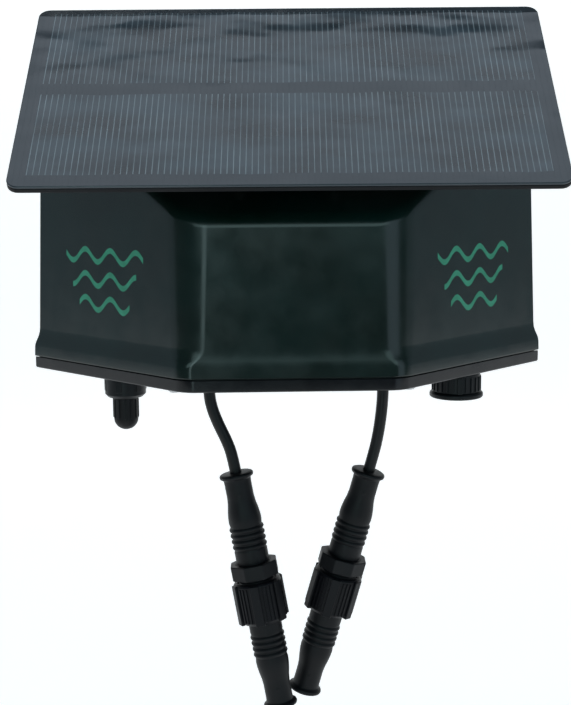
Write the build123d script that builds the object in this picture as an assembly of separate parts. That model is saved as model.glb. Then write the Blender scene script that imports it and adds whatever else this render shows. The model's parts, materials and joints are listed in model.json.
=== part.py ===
"""Solar drip irrigation timer: a wall-hung case with a tilting solar panel, a dosing pump and two leads.

Millimetres. +Z is up, -Y is towards the person in front of it, and the origin is the centre of the
wall bracket's back face. Each piece is one node, written to parts/NODE.step.
"""
from build123d import *
import math
import os

# ---- fits ----
running_gap = 0.08      # radial, shaft in its own bearing
moving_gap = 0.3        # between pieces of different moving bodies
seat_gap = 0.1          # between fixed pieces that drop into each other

# ---- wall bracket and where the case hangs ----
bracket_depth = 14.0    # wall to the back of the case
bracket_width = 116.0
bracket_height = 36.0
bracket_wall = 3.0
bracket_hole_spacing = 84.0
bracket_hole_radius = 2.3
mount_height = 60.0     # underside of the case to the middle of the bracket
rear_y = -bracket_depth
base_z = -mount_height

# ---- case: half-hexagon plan, sloping roof ----
case_rear_half = 103.0
case_front_half = 40.5
case_depth = 61.0
case_corner_radius = 12.0
case_wall = 2.2
case_draft = 1.5        # degrees
case_front_height = 65.0
roof_angle = 38.0
roof_edge_radius = 3.0
skirt_height = 6.5
skirt_flare = 1.8
skirt_edge_radius = 1.0
tray_height = 4.7
tray_floor = 2.4
tray_grow = 1.2
tray_lip_height = 5.0
tray_lip_wall = 1.6
gasket_thickness = 0.8
gasket_past_wall = 0.4  # how far the gasket's inner edge stands in from the wall

# ---- case screws and bosses ----
screw_radius = 1.5
screw_head_radius = 2.9
screw_head_height = 1.8
case_screw_length = 16.0
case_boss_radius = 3.8
case_boss_height = 20.0
case_web = 1.8          # rib from each screw post to the side wall
case_screw_places = ((-78.0, -10.0), (78.0, -10.0), (-45.0, -49.0), (45.0, -49.0))

# ---- swivel and tilt of the panel ----
pivot_back = 34.0       # back of the case to the swivel axis
turret_radius = 11.0
turret_top = 94.0       # above the underside of the case
turret_wall = 20.0      # height of the bearing
stem_radius = 5.0
stem_bore_radius = 2.2
post_flange_radius = 10.0
post_flange_height = 2.2
pivot_above_turret = 8.3
knuckle_radius = 5.0
knuckle_width = 14.0
tilt_pin_radius = 2.0
ear_wall = 3.6
ear_plate_wall = 2.2
ear_plate_width = 46.0
ear_plate_length = 24.0
clip_radius = 8.0
clip_height = 1.6

# ---- solar panel ----
panel_width = 200.0
panel_length = 109.0
panel_below_pivot = 54.0
panel_tilt = 38.0       # degrees from level
panel_turn = 1.8        # degrees that the panel is left turned to the case
panel_lift = 8.4        # pivot to the panel's underside
panel_tray_wall = 1.9
panel_laminate = 1.1
panel_corner_radius = 4.5
cell_wall = 0.3
cell_margin_side = 6.6
cell_near_edge = 6.3
cell_strip = 46.5
cell_gap = 6.8
junction_size = (44.0, 20.0, 7.0)
junction_up = 24.0
junction_lid = 1.5

# ---- control knob and its switch ----
knob_place = (67.5, -20.0)
knob_radius = 9.6
knob_lip_radius = 10.8
knob_height = 10.2
knob_lip = 2.2
knob_wall = 1.8
knob_ribs = 24
switch_body_radius = 6.4
switch_body_height = 9.0
switch_shaft_radius = 3.0
switch_shaft_below = 7.5
switch_bush_radius = 4.5

# ---- water outlet (left) and inlet (rear) ----
outlet_place = (-66.2, -20.0)
outlet_collar_radius = 8.2
outlet_collar_height = 8.6
outlet_spigot_radius = 3.0
outlet_bore_radius = 1.6
outlet_spigot_length = 8.0
outlet_thread_radius = 5.0
outlet_thread_height = 6.0
outlet_elbow_reach = 7.0
outlet_elbow_height = 10.0
outlet_cap_radius = 4.9
outlet_cap_length = 13.5
inlet_barb_length = 8.0
fitting_nut_radius = 8.0
fitting_nut_height = 3.0

# ---- leads and their screwed connectors ----
lead_radius = 2.25
lead_in_boot = 5.6      # how far a lead runs on into its connector
grommet_radius = 4.2
grommet_lip = 1.0
plug_length = 94.0
plug_flange_radius = 6.6
plug_neck_radius = 5.2
plug_body_radius = 6.4
plug_rib_radius = 6.9
plug_collar_radius = 9.2
plug_collar_height = 4.4
plug_thread_radius = 7.3
plug_nose_radius = 4.8
plug_shoulder_radius = 8.0
nut_body_radius = 9.3
nut_rib_radius = 10.3
nut_length = 16.5
nut_ribs = 14
contact_radius = 0.9

# ---- pump, battery and board inside the case ----
pump_place = (33.0, -4.8)
pump_centre_height = 46.0
pump_radius = 24.0
pump_track_radius = 20.5
pump_depth = 19.4
pump_wall = 2.4
tube_outer = 2.6
tube_flat = 1.3
tube_leg_angle = 54.0   # degrees below level where the tube leaves the track
roller_radius = 4.2
roller_pin_radius = 1.5
roller_length = 9.0
rotor_plate = 1.6
roller_count = 3
pump_shaft_radius = 2.5
gearbox_radius = 12.0
gearbox_length = 13.0
motor_radius = 9.0
motor_length = 14.0
battery_radius = 7.1
battery_length = 49.5
battery_pitch = 15.2
battery_count = 3
battery_middle = -41.0
battery_floor = 15.8
holder_wall = 1.6
holder_pad_wall = 0.8
board_size = (40.0, 1.6, 38.0)
board_place = (-16.0, -42.0)
board_floor = 7.0

# ---- values that follow ----
side_run = (case_rear_half - case_front_half) / case_depth
side_length_factor = math.hypot(1.0, side_run)
cover_bottom = base_z + tray_height + gasket_thickness
gasket_width = case_wall + gasket_past_wall
cover_top = base_z + case_front_height + case_depth * math.tan(math.radians(roof_angle)) + 12.0
floor_z = base_z + tray_floor
turret_z = base_z + turret_top
pivot_z = turret_z + pivot_above_turret
pivot_y = rear_y - pivot_back
case_front_y = rear_y - case_depth


def at(place, height=0.0):
    """A location at a plan place measured from the middle of the case's back, above its underside."""
    return Pos(place[0], rear_y + place[1], base_z + height)


def rod(radius, height, at_z=0.0):
    """A cylinder standing on at_z."""
    return Pos(0, 0, at_z) * Cylinder(radius, height, align=(Align.CENTER, Align.CENTER, Align.MIN))


def ring(outer, inner, height, at_z=0.0):
    """A tube standing on at_z."""
    return rod(outer, height, at_z) - rod(inner, height + 2.0, at_z - 1.0)


def block(size, place):
    """A box with its low corner at place."""
    return Pos(*place) * Box(*size, align=(Align.MIN, Align.MIN, Align.MIN))


def turned(points):
    """A solid of revolution about Z from (radius, height) points."""
    profile = Plane.XZ * make_face(Polyline(*points, close=True))
    return revolve(profile, Axis.Z)


# ---------------------------------------------------------------- case

def case_outline(grow, z, radius=case_corner_radius, behind=0.0):
    """The half-hexagon plan at height z, grown outwards on its front and sides, its back at the bracket."""
    back = min(grow, 0.0) + behind
    rear_x = case_rear_half + grow * side_length_factor + back * side_run
    front_x = case_front_half + grow * (side_length_factor - side_run)
    front_y = case_front_y - grow
    corners = [(-rear_x, rear_y + back), (-front_x, front_y), (front_x, front_y), (rear_x, rear_y + back)]
    plan = make_face(Polyline(*corners, close=True))
    if radius:
        plan = fillet(plan.vertices().sort_by(Axis.Y)[:2], radius)
    return Pos(0, 0, z) * plan


def roof_plane(inset):
    """The sloping roof's plane, set inwards by inset."""
    front_shift = case_front_height * math.tan(math.radians(case_draft))
    slope = math.radians(roof_angle)
    plane = Plane(
        origin=(0, case_front_y + front_shift, base_z + case_front_height),
        x_dir=(1, 0, 0),
        z_dir=(0, -math.sin(slope), math.cos(slope)),
    )
    return plane.offset(-inset)


def case_block(inset):
    """The case's solid form, set in by inset: drafted walls up to the sloping roof, an upright back."""
    behind = 10.0
    plan = case_outline(-inset, cover_bottom, radius=0.0, behind=behind)
    form = extrude(plan, cover_top - cover_bottom, taper=case_draft)
    form -= block((600, 300, 600), (-300, rear_y - inset, -300))
    form -= roof_plane(inset).location * block((600, 600, 300), (-300, -300, 0))
    upright = [e for e in form.edges() if abs(e.tangent_at(0.5).Z) > 0.9]
    front = sorted(upright, key=lambda e: e.center().Y)[:2]
    return fillet(front, case_corner_radius - inset)


def rounded_case():
    """The outer form with its roof edges rounded, except along the back."""
    form = case_block(0.0)
    plane = roof_plane(0.0)
    roof = [e for e in form.edges() if abs(plane.to_local_coords(e.center()).Z) < 0.01]
    return fillet([e for e in roof if e.center().Y < rear_y - 0.5], roof_edge_radius)


def skirt():
    """The flared band round the bottom of the cover."""
    band = extrude(case_outline(skirt_flare, cover_bottom), skirt_height)
    top = [e for e in band.edges() if abs(e.center().Z - cover_bottom - skirt_height) < 0.01]
    front = [e for e in top if e.center().Y < rear_y - 0.5]
    return fillet(front, skirt_edge_radius)


def screw_bosses():
    """Posts inside the cover that take the case screws."""
    posts = []
    low = tray_height + gasket_thickness
    web_low = tray_floor + lip_height() + 1.5
    for place in case_screw_places:
        posts.append(at(place, low) * rod(case_boss_radius, case_boss_height))
        outwards = Rot(0, 0, -45 if place[0] > 0 else -135)
        web = block((20.0, case_web, low + case_boss_height - web_low), (0, -case_web / 2, 0))
        posts.append(at(place, web_low) * outwards * web)
    return posts


def housing_cover():
    """The moulded cover: walls, roof, skirt, screw posts and the turret that carries the panel."""
    inside = case_block(case_wall)
    shell = rounded_case() + skirt() - inside
    turret = Pos(0, pivot_y, turret_z - turret_wall) * rod(turret_radius, turret_wall)
    cover = shell + turret
    for post in screw_bosses():
        cover += post & case_block(case_wall / 2)
    cover -= Pos(0, pivot_y, turret_z - turret_wall) * rod(stem_radius + running_gap, turret_wall + 2.0, -1.0)
    for place in case_screw_places:
        bore = rod(screw_radius + seat_gap / 2, case_screw_length, -1.0)
        cover -= at(place, tray_height + gasket_thickness) * bore
    for x in (-bracket_screw_x(), bracket_screw_x()):
        hole = Pos(x, rear_y, 0) * Rot(90, 0, 0) * rod(screw_radius + seat_gap / 2, 3 * case_wall, -1.0)
        cover -= hole
    return cover


def bracket_screw_x():
    """Half the spacing of the screws that hold the bracket to the case."""
    return bracket_width / 2 - 10.0


def case_ring(grow, width, z, height):
    """A band that follows the case's plan, width wide, outer edge at grow."""
    outer = extrude(case_outline(grow, z, case_corner_radius + min(grow, 0.0)), height)
    inner_radius = case_corner_radius + min(grow - width, 0.0)
    inner = extrude(case_outline(grow - width, z - 1.0, inner_radius), height + 2.0)
    return outer - inner


def lip_height():
    """How far the tray's lip rises above its floor."""
    return tray_height - tray_floor + gasket_thickness + tray_lip_height


def base_tray():
    """The tray that closes the case from below, with its locating lip and every hole through it."""
    tray = extrude(case_outline(tray_grow, base_z), tray_height)
    hollow = extrude(case_outline(-case_wall - gasket_width / 2, floor_z, 9.0), tray_height)
    tray -= hollow
    lip = case_ring(-case_wall - 0.6, tray_lip_wall, floor_z, lip_height())
    for place in case_screw_places:
        lip -= at(place, tray_floor) * rod(case_boss_radius + 0.8, lip_height() + 2.0, -0.5)
    lip -= at(knob_place, tray_floor) * rod(switch_body_radius + 0.6, lip_height() + 2.0, -0.5)
    lip -= at(outlet_place, tray_floor) * rod(fitting_nut_radius + 0.6, lip_height() + 2.0, -0.5)
    tray += lip
    for place in case_screw_places:
        tray += at(place, tray_floor) * rod(case_boss_radius, tray_height - tray_floor)
        tray -= at(place) * rod(screw_radius + 0.25, tray_height + 2.0, -1.0)
    for x in (board_place[0] - board_size[0] / 2 + 4.0, board_place[0] + board_size[0] / 2 - 4.0):
        tray += at((x, board_place[1]), tray_floor) * board_post()
    tray -= at(knob_place) * rod(switch_bush_radius + seat_gap, tray_floor + 2.0, -1.0)
    tray -= at(outlet_place) * rod(outlet_thread_radius + seat_gap, tray_floor + 2.0, -1.0)
    tray -= at(inlet_place()) * rod(outlet_thread_radius + seat_gap, tray_floor + 2.0, -1.0)
    for route in (lead_route_left, lead_route_right):
        tray -= at(route[0]) * rod(grommet_radius - grommet_lip + seat_gap, tray_floor + 2.0, -1.0)
    return tray


def board_post():
    """A post on the tray's floor with a slot that the board's lower edge drops into."""
    height = board_floor - tray_floor + 3.0
    post = Pos(0, 0, height / 2) * Box(5.0, 5.6, height)
    slot_height = height - (board_floor - tray_floor)
    slot = Pos(0, 0, board_floor - tray_floor + slot_height / 2 + 0.5)
    return post - slot * Box(7.0, board_size[1] + 2 * seat_gap, slot_height + 1.0)


def base_gasket():
    """The flat seal between the tray and the cover."""
    seal = case_ring(0.0, gasket_width, base_z + tray_height, gasket_thickness)
    for place in case_screw_places:
        seal -= at(place, tray_height) * rod(case_boss_radius + 0.4, gasket_thickness + 2.0, -1.0)
    return seal


def pan_screw(length):
    """A pan-head screw hanging down: head below zero, shank up, cross recess in the head."""
    head = turned([
        (0, -screw_head_height),
        (screw_head_radius * 0.6, -screw_head_height),
        (screw_head_radius, -screw_head_height * 0.45),
        (screw_head_radius, 0),
        (0, 0),
    ])
    screw = head + rod(screw_radius, length)
    for angle in (0, 90):
        screw -= Rot(0, 0, angle) * Pos(0, 0, -screw_head_height) * Box(3.2, 0.7, 1.6)
    return screw


def case_screws():
    """The four screws that draw the tray up to the cover."""
    return [at(place) * pan_screw(case_screw_length) for place in case_screw_places]


def wall_bracket():
    """The bracket: a block hollowed from the case's side, with two holes for wall screws in its back."""
    width = bracket_width
    height = bracket_height
    depth = bracket_depth - seat_gap
    body = Pos(0, -depth / 2, 0) * Box(width, depth, height)
    body = fillet(body.edges().filter_by(Axis.Y), 5.0)
    pocket_width = bracket_hole_spacing - 4 * bracket_hole_radius - 4 * bracket_wall
    pocket_height = height - 2 * bracket_wall
    body -= block((pocket_width, depth, pocket_height), (-pocket_width / 2, -depth - bracket_wall, -pocket_height / 2))
    for x in (-bracket_hole_spacing / 2, bracket_hole_spacing / 2):
        body -= Pos(x, 1.0, 0) * Rot(90, 0, 0) * rod(bracket_hole_radius, depth + 3.0)
        driver_room = Pos(x, -bracket_wall, 0) * Rot(90, 0, 0) * rod(bracket_hole_radius + 2.6, depth)
        body -= driver_room
    for x in (-bracket_screw_x(), bracket_screw_x()):
        body -= Pos(x, 1.0, 0) * Rot(90, 0, 0) * rod(screw_radius + 0.2, depth + 3.0)
        body -= Pos(x, 1.0, 0) * Rot(90, 0, 0) * rod(screw_head_radius + 0.4, depth - bracket_wall + 1.0)
    return body


def bracket_screws():
    """The two screws that hold the bracket to the back of the case."""
    seat_y = -(bracket_depth - seat_gap) + bracket_wall
    length = bracket_wall + case_wall - seat_gap
    places = (-bracket_screw_x(), bracket_screw_x())
    return [Pos(x, seat_y, 0) * Rot(90, 0, 0) * pan_screw(length) for x in places]


# ---------------------------------------------------------------- panel carrier and panel

def post_frame():
    """The swivel axis at the turret's top, turned as the panel was left."""
    return Pos(0, pivot_y, turret_z) * Rot(0, 0, -panel_turn)


def panel_frame():
    """The tilt pin's middle; X across, Y up the panel's slope, Z out of its face."""
    return Pos(0, pivot_y, pivot_z) * Rot(0, 0, -panel_turn) * Rot(panel_tilt, 0, 0)


def cross_rod(radius, width):
    """A cylinder along X, centred."""
    return Rot(0, 90, 0) * Cylinder(radius, width)


def swivel_post():
    """The post: a hollow stem through the turret, a flange on it and a knuckle for the tilt pin."""
    stem_down = turret_wall + clip_height + 2.4
    stem = rod(stem_radius, stem_down + post_flange_height, -stem_down)
    flange = rod(post_flange_radius, post_flange_height, moving_gap / 2)
    web_height = pivot_above_turret
    web = Pos(0, 0, web_height / 2 + moving_gap / 2) * Box(knuckle_width, 2 * knuckle_radius, web_height)
    knuckle = Pos(0, 0, pivot_above_turret) * cross_rod(knuckle_radius, knuckle_width)
    post = stem + flange + web + knuckle
    post -= Pos(0, 0, pivot_above_turret) * cross_rod(tilt_pin_radius + running_gap, knuckle_width + 2)
    post -= rod(stem_bore_radius, stem_down + post_flange_height - 0.5, -stem_down - 0.5)
    groove_z = -turret_wall - clip_height - moving_gap
    post -= ring(stem_radius + 1, stem_radius - 1.0, clip_height + 0.2, groove_z)
    return post_frame() * post


def post_clip():
    """The spring clip that keeps the stem in the turret."""
    clip = ring(clip_radius, stem_radius - 0.9, clip_height, -turret_wall - clip_height - moving_gap + 0.1)
    clip -= Pos(0, clip_radius, -turret_wall - clip_height) * Box(5.0, 2 * clip_radius, 6.0)
    return post_frame() * clip


def panel_sheet(thickness, low):
    """A sheet of the panel's outline, its underside low above the panel's underside."""
    centre = panel_length / 2 - panel_below_pivot
    sheet = Pos(0, centre, panel_lift + low) * RectangleRounded(panel_width, panel_length, panel_corner_radius)
    return extrude(sheet, thickness)


def cell_strips(thickness, z, grow=0.0):
    """The two strips of cells."""
    strips = []
    width = panel_width - 2 * cell_margin_side
    for row in range(2):
        low = cell_near_edge + row * (cell_strip + cell_gap) - panel_below_pivot
        strip = Pos(0, low + cell_strip / 2, z + thickness / 2)
        strips.append(strip * Box(width + 2 * grow, cell_strip + 2 * grow, thickness))
    return strips


def panel_tray():
    """The panel's stiff back sheet, with shallow beds for the cells."""
    tray = panel_sheet(panel_tray_wall, 0.0)
    for bed in cell_strips(cell_wall + 1.0, panel_lift + panel_tray_wall - cell_wall, 0.2):
        tray -= bed
    for place in junction_screw_places() + ear_screw_places():
        tray -= Pos(place[0], place[1], panel_lift - 1.0) * rod(0.8, 2.4)
    return panel_frame() * tray


def solar_cells():
    """Two rows of cells in the tray's beds."""
    return [panel_frame() * s for s in cell_strips(cell_wall, panel_lift + panel_tray_wall - cell_wall)]


def solar_laminate():
    """The clear sheet over the cells, with softened edges."""
    sheet = panel_sheet(panel_laminate, panel_tray_wall)
    top = sheet.faces().sort_by(Axis.Z)[-1]
    return panel_frame() * fillet(top.edges(), 0.4)


def junction_screw_places():
    """Where the junction box's two screws go into the tray."""
    reach = junction_size[0] / 2 - 3.5
    return [(-reach, junction_up), (reach, junction_up)]


def ear_screw_places():
    """Where the ear plate's four screws go into the tray."""
    across = ear_plate_width / 2 - 4.0
    along = ear_plate_length / 2 - 4.0
    return [(x, y) for x in (-across, across) for y in (-along, along)]


def junction_box():
    """The box under the panel where its two wires are joined: walls and a solder bay."""
    width, length, height = junction_size
    wall = 1.6
    body = Pos(0, junction_up, panel_lift - height / 2) * Box(width, length, height)
    body = fillet(body.edges().filter_by(Axis.Z), 2.5)
    bay = Pos(0, junction_up, panel_lift - height / 2) * Box(width - 16.0, length - 2 * wall, height + 2.0)
    body -= bay
    body -= Pos(0, junction_up - length / 2, panel_lift - height / 2) * Rot(90, 0, 0) * Cylinder(1.6, 6.0)
    for x, y in junction_screw_places():
        body -= Pos(x, y, panel_lift - height) * rod(1.1, height + 1.0, -0.5)
    return panel_frame() * body


def junction_lid_plate():
    """The junction box's lid."""
    width, length, height = junction_size
    lid = Pos(0, junction_up, panel_lift - height - junction_lid / 2) * Box(width, length, junction_lid)
    lid = fillet(lid.edges().filter_by(Axis.Z), 2.5)
    for x, y in junction_screw_places():
        lid -= Pos(x, y, panel_lift - height) * rod(1.1, 4.0, -3.0)
    return panel_frame() * lid


def small_screw(length):
    """A small screw: head below zero, shank up."""
    return rod(1.8, 1.0, -1.0) + rod(0.75, length)


def junction_screws():
    """The two screws through the lid and the box into the tray."""
    height = junction_size[2] + junction_lid
    screw = small_screw(height + 1.2)
    return [panel_frame() * Pos(x, y, panel_lift - height) * screw for x, y in junction_screw_places()]


def panel_bracket():
    """The plate on the panel's underside with two ears that hold the tilt pin."""
    plate_z = panel_lift - ear_plate_wall
    plate = Pos(0, 0, plate_z + ear_plate_wall / 2) * Box(ear_plate_width, ear_plate_length, ear_plate_wall)
    plate = fillet(plate.edges().filter_by(Axis.Z), 3.0)
    offset = knuckle_width / 2 + moving_gap + ear_wall / 2
    for side in (-1, 1):
        ear = Pos(side * offset, 0, 0) * cross_rod(knuckle_radius, ear_wall)
        ear += Pos(side * offset, 0, plate_z / 2) * Box(ear_wall, 2 * knuckle_radius, plate_z)
        plate += ear
    plate -= cross_rod(tilt_pin_radius + 0.02, 2 * offset + ear_wall + 2)
    for x, y in ear_screw_places():
        plate -= Pos(x, y, plate_z) * rod(1.1, 6.0, -3.0)
    return panel_frame() * plate


def bracket_plate_screws():
    """The four screws that hold the ear plate to the tray."""
    screw = small_screw(ear_plate_wall + 1.2)
    plate_z = panel_lift - ear_plate_wall
    return [panel_frame() * Pos(x, y, plate_z) * screw for x, y in ear_screw_places()]


def ear_outer():
    """Half the width over the ears."""
    return knuckle_width / 2 + moving_gap + ear_wall


def tilt_bolt():
    """The tilt pin: a bolt through both ears with a hexagon head."""
    reach = ear_outer()
    shank = cross_rod(tilt_pin_radius, 2 * reach + 5.0)
    shank = Pos(2.5, 0, 0) * shank
    head = Pos(-reach - 1.3, 0, 0) * Rot(0, 90, 0) * extrude(RegularPolygon(3.6, 6), 1.3, both=True)
    return panel_frame() * (shank + head)


def tilt_nut():
    """The lobed nut that clamps the tilt."""
    start = ear_outer() + 0.05
    body = Pos(start, 0, 0) * Rot(0, 90, 0) * rod(4.4, 3.6)
    for lobe in range(6):
        place = Rot(lobe * 60, 0, 0) * Pos(start, 0, 4.4) * Rot(0, 90, 0)
        body += place * rod(1.3, 3.6)
    body -= Pos(start, 0, 0) * Rot(0, 90, 0) * rod(tilt_pin_radius + 0.02, 6.0, -1.0)
    return panel_frame() * body


# ---------------------------------------------------------------- control knob

def control_knob():
    """The hollow knob under the case: ribbed skirt, lip at the bottom, hub on the switch's shaft."""
    top = -moving_gap
    body = turned([
        (0, top - knob_height),
        (knob_lip_radius - 0.6, top - knob_height),
        (knob_lip_radius, top - knob_height + 0.6),
        (knob_lip_radius, top - knob_height + knob_lip - 0.4),
        (knob_lip_radius - 0.4, top - knob_height + knob_lip),
        (knob_radius, top - knob_height + knob_lip),
        (knob_radius, top),
        (0, top),
    ])
    room_height = knob_height - knob_wall
    body -= ring(knob_radius - knob_wall, switch_shaft_radius + 1.8, room_height, top - room_height)
    body -= rod(switch_shaft_radius + 0.02, switch_shaft_below + moving_gap, -switch_shaft_below)
    body -= rod(switch_bush_radius + moving_gap, 1.6, top - 1.5)
    rib_height = knob_height - knob_lip - 1.2
    for rib in range(knob_ribs):
        place = Rot(0, 0, rib * 360.0 / knob_ribs) * Pos(knob_radius, 0, top - knob_height + knob_lip - 0.3)
        body += place * rod(0.45, rib_height)
    pointer = Pos(0, -knob_radius + 0.2, top - knob_height / 2 + knob_lip / 2 - 0.6)
    body += pointer * Box(2.0, 2.4, knob_height - knob_lip - 1.2)
    return at(knob_place) * body


def switch_shaft():
    """The shaft that joins the knob to the switch's rotor."""
    top = tray_floor + switch_body_height - 2.0
    shaft = rod(switch_shaft_radius, top + switch_shaft_below, -switch_shaft_below)
    return at(knob_place) * shaft


def rotary_switch():
    """The switch body on the tray's floor, with a bush down through the floor."""
    body = rod(switch_body_radius, switch_body_height, tray_floor)
    body += rod(switch_bush_radius, tray_floor + 1.0, -0.6)
    bore_height = tray_floor + switch_body_height - 2.0 + 0.3
    body -= rod(switch_shaft_radius + running_gap, bore_height + 1.0, -1.0)
    for pin in range(4):
        place = Rot(0, 0, 45 + pin * 90) * Pos(switch_body_radius - 1.6, 0, tray_floor + switch_body_height)
        body += place * Box(0.8, 1.6, 3.0)
    return at(knob_place) * body


# ---------------------------------------------------------------- water fittings

def inlet_place():
    """The inlet stands right under the pump tube's right leg."""
    return pump_place[0] + tube_leg_x(), pump_place[1] - tube_mid_z()


def flange_fitting(collar_radius, collar_height, spigot_length):
    """A screwed fitting: thread up through the floor, collar below it, barbed spigot down."""
    edge = 1.2
    points = [
        (outlet_bore_radius, tray_floor + outlet_thread_height),
        (outlet_thread_radius, tray_floor + outlet_thread_height),
        (outlet_thread_radius, 0),
        (collar_radius, 0),
        (collar_radius, -collar_height + edge),
        (collar_radius - edge, -collar_height),
        (outlet_spigot_radius, -collar_height),
    ]
    step = spigot_length / 3
    for barb in range(3):
        low = -collar_height - barb * step
        points.append((outlet_spigot_radius + 0.35, low - 0.2 * step))
        points.append((outlet_spigot_radius - 0.25, low - step))
    points.append((outlet_bore_radius, -collar_height - spigot_length))
    return turned(points)


def outlet_fitting():
    """The outlet under the left of the case: elbow inside, round collar and barbed spigot below."""
    body = flange_fitting(outlet_collar_radius, outlet_collar_height, outlet_spigot_length)
    elbow_radius = outlet_spigot_radius + 0.6
    body += rod(elbow_radius, outlet_elbow_height + elbow_radius - tray_floor, tray_floor)
    arm = Pos(0, 0, outlet_elbow_height) * Rot(0, 90, 0)
    body += arm * rod(elbow_radius, outlet_elbow_reach)
    body -= rod(outlet_bore_radius, outlet_elbow_height)
    body -= arm * rod(outlet_bore_radius, outlet_elbow_reach + 1.0)
    return at(outlet_place) * body


def inlet_fitting():
    """The inlet under the back of the case: a low collar and a short barb for the supply tube."""
    return at(inlet_place()) * flange_fitting(7.0, 1.8, inlet_barb_length - 1.8)


def fitting_nut():
    """A hexagon nut that clamps a fitting to the tray's floor."""
    nut = extrude(RegularPolygon(fitting_nut_radius, 6), fitting_nut_height)
    return nut - rod(outlet_thread_radius + seat_gap / 2, fitting_nut_height + 2, -1)


def outlet_nut():
    """The outlet fitting's nut."""
    return at(outlet_place, tray_floor) * fitting_nut()


def inlet_nut():
    """The inlet fitting's nut."""
    return at(inlet_place(), tray_floor) * fitting_nut()


def outlet_cap():
    """The ribbed, domed cap pushed on to the outlet's spigot."""
    radius = outlet_cap_radius
    dome = 4.0
    straight = outlet_cap_length - dome
    body = rod(radius, straight, -straight)
    body += Pos(0, 0, -straight) * scale(Sphere(radius), by=(1, 1, dome / radius))
    inner = outlet_spigot_radius + 0.35 + moving_gap
    body -= rod(inner, outlet_spigot_length + moving_gap + 1.0, -outlet_spigot_length - moving_gap)
    for rib in range(12):
        place = Rot(0, 0, rib * 30) * Pos(radius, 0, -straight)
        body += place * rod(0.4, straight - 1.0)
    return at(outlet_place, -outlet_collar_height - moving_gap / 2) * body


# ---------------------------------------------------------------- leads and connectors

lead_route_left = [
    (-31.8, -52.0, 4.0),
    (-31.8, -52.0, -2.5),
    (-30.6, -52.1, -8.3),
    (-28.2, -52.3, -14.3),
    (-25.3, -52.6, -20.3),
    (-23.1, -52.9, -26.4),
    (-21.0, -53.5, -38.2),
]
lead_route_right = [
    (34.6, -52.0, 4.0),
    (34.6, -52.0, -2.5),
    (34.2, -51.9, -8.5),
    (33.5, -51.7, -14.6),
    (32.5, -51.4, -20.7),
    (31.1, -51.1, -26.8),
    (27.8, -50.5, -38.6),
]


def route_points(route):
    """A lead's points in the object's frame."""
    return [Vector(x, rear_y + y, base_z + z) for x, y, z in route]


def route_radii(points):
    """For each corner, 0.45 of its shorter run over the tangent of half the turn."""
    radii = []
    for before, corner, after in zip(points, points[1:], points[2:]):
        run_in = corner - before
        run_out = after - corner
        turn = math.radians(run_in.get_angle(run_out))
        radii.append(0.45 * min(run_in.length, run_out.length) / math.tan(turn / 2))
    return radii


def lead_tube(name, route, radius=lead_radius):
    """One lead or hose along its route, and a printed line on how tight it bends."""
    points = route_points(route)
    radii = route_radii(points)
    path = FilletPolyline(*points, radius=radii)
    start = Plane(origin=path @ 0, z_dir=path % 0)
    tube = sweep(start * Circle(radius), path=path)
    section = math.pi * radius ** 2
    print(name, "radii", [round(r, 1) for r in radii], "length", round(path.length, 1),
          "volume", round(tube.volume, 1), "section x length", round(section * path.length, 1))
    return tube


def plug_frame(route):
    """The connector's own frame: origin where the lead enters it, Z along it, away from the case."""
    points = route_points(route)
    along = (points[-1] - points[-2]).normalized()
    return Plane(origin=points[-1] - along * lead_in_boot, x_dir=(0, -1, 0), z_dir=along).location


def boot_profile(start, step):
    """The outline of a connector's rubber boot from its flange inwards; step is +1 or -1."""
    heights_radii = [
        (0.0, plug_flange_radius - 0.5),
        (0.5, plug_flange_radius),
        (1.7, plug_flange_radius),
        (2.2, plug_neck_radius),
        (12.0, plug_neck_radius),
        (16.5, plug_body_radius),
        (22.0, plug_body_radius),
    ]
    for rib in range(3):
        low = 22.5 + rib * 2.6
        heights_radii += [
            (low, plug_body_radius - 0.3),
            (low + 0.5, plug_rib_radius),
            (low + 1.5, plug_rib_radius),
            (low + 2.0, plug_body_radius - 0.3),
        ]
    heights_radii.append((30.6, plug_body_radius))
    return [(radius, start + step * height) for height, radius in heights_radii]


collar_start = 35.4
thread_start = collar_start + plug_collar_height
nut_start = thread_start + 2.8
nose_start = thread_start + 1.5
thread_end = nut_start + 8.0
shoulder_start = thread_end + 1.0 + seat_gap
shoulder_height = 2.2
nut_end = nut_start + nut_length


def plug_upper():
    """The case-side half: rubber boot, collar and threaded nose with its socket."""
    points = [(0, 0)] + boot_profile(0.0, 1)
    points += [
        (plug_body_radius, collar_start),
        (plug_thread_radius, collar_start),
        (plug_thread_radius, thread_end),
        (plug_nose_radius + moving_gap, thread_end),
        (plug_nose_radius + moving_gap, nose_start - moving_gap),
        (0, nose_start - moving_gap),
    ]
    body = turned(points)
    collar = Pos(0, 0, collar_start) * extrude(RegularPolygon(plug_collar_radius, 8), plug_collar_height)
    body += collar - rod(plug_thread_radius - 1.0, plug_collar_height + 2.0, collar_start - 1.0)
    for row in range(3):
        groove_z = nut_start + 1.2 + row * 2.2
        body -= ring(plug_thread_radius + 1.0, plug_thread_radius - 0.4, 0.8, groove_z)
    body -= rod(lead_radius + seat_gap, lead_in_boot + seat_gap + 1.0, -1.0)
    body -= Pos(plug_neck_radius, 0, 8.0) * Sphere(1.0)
    body -= Pos(-plug_neck_radius, 0, 8.0) * Sphere(1.0)
    for side in (-1, 1):
        body -= Pos(side * 2.2, 0, nose_start - 8.0) * rod(contact_radius + 0.02, 10.0)
    return body


def plug_contacts():
    """Two brass pins fixed in the case-side half."""
    length = 8.0 - moving_gap + 6.0
    pins = []
    for side in (-1, 1):
        pins.append(Pos(side * 2.2, 0, nose_start - 8.0) * rod(contact_radius, length))
    return pins


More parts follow.
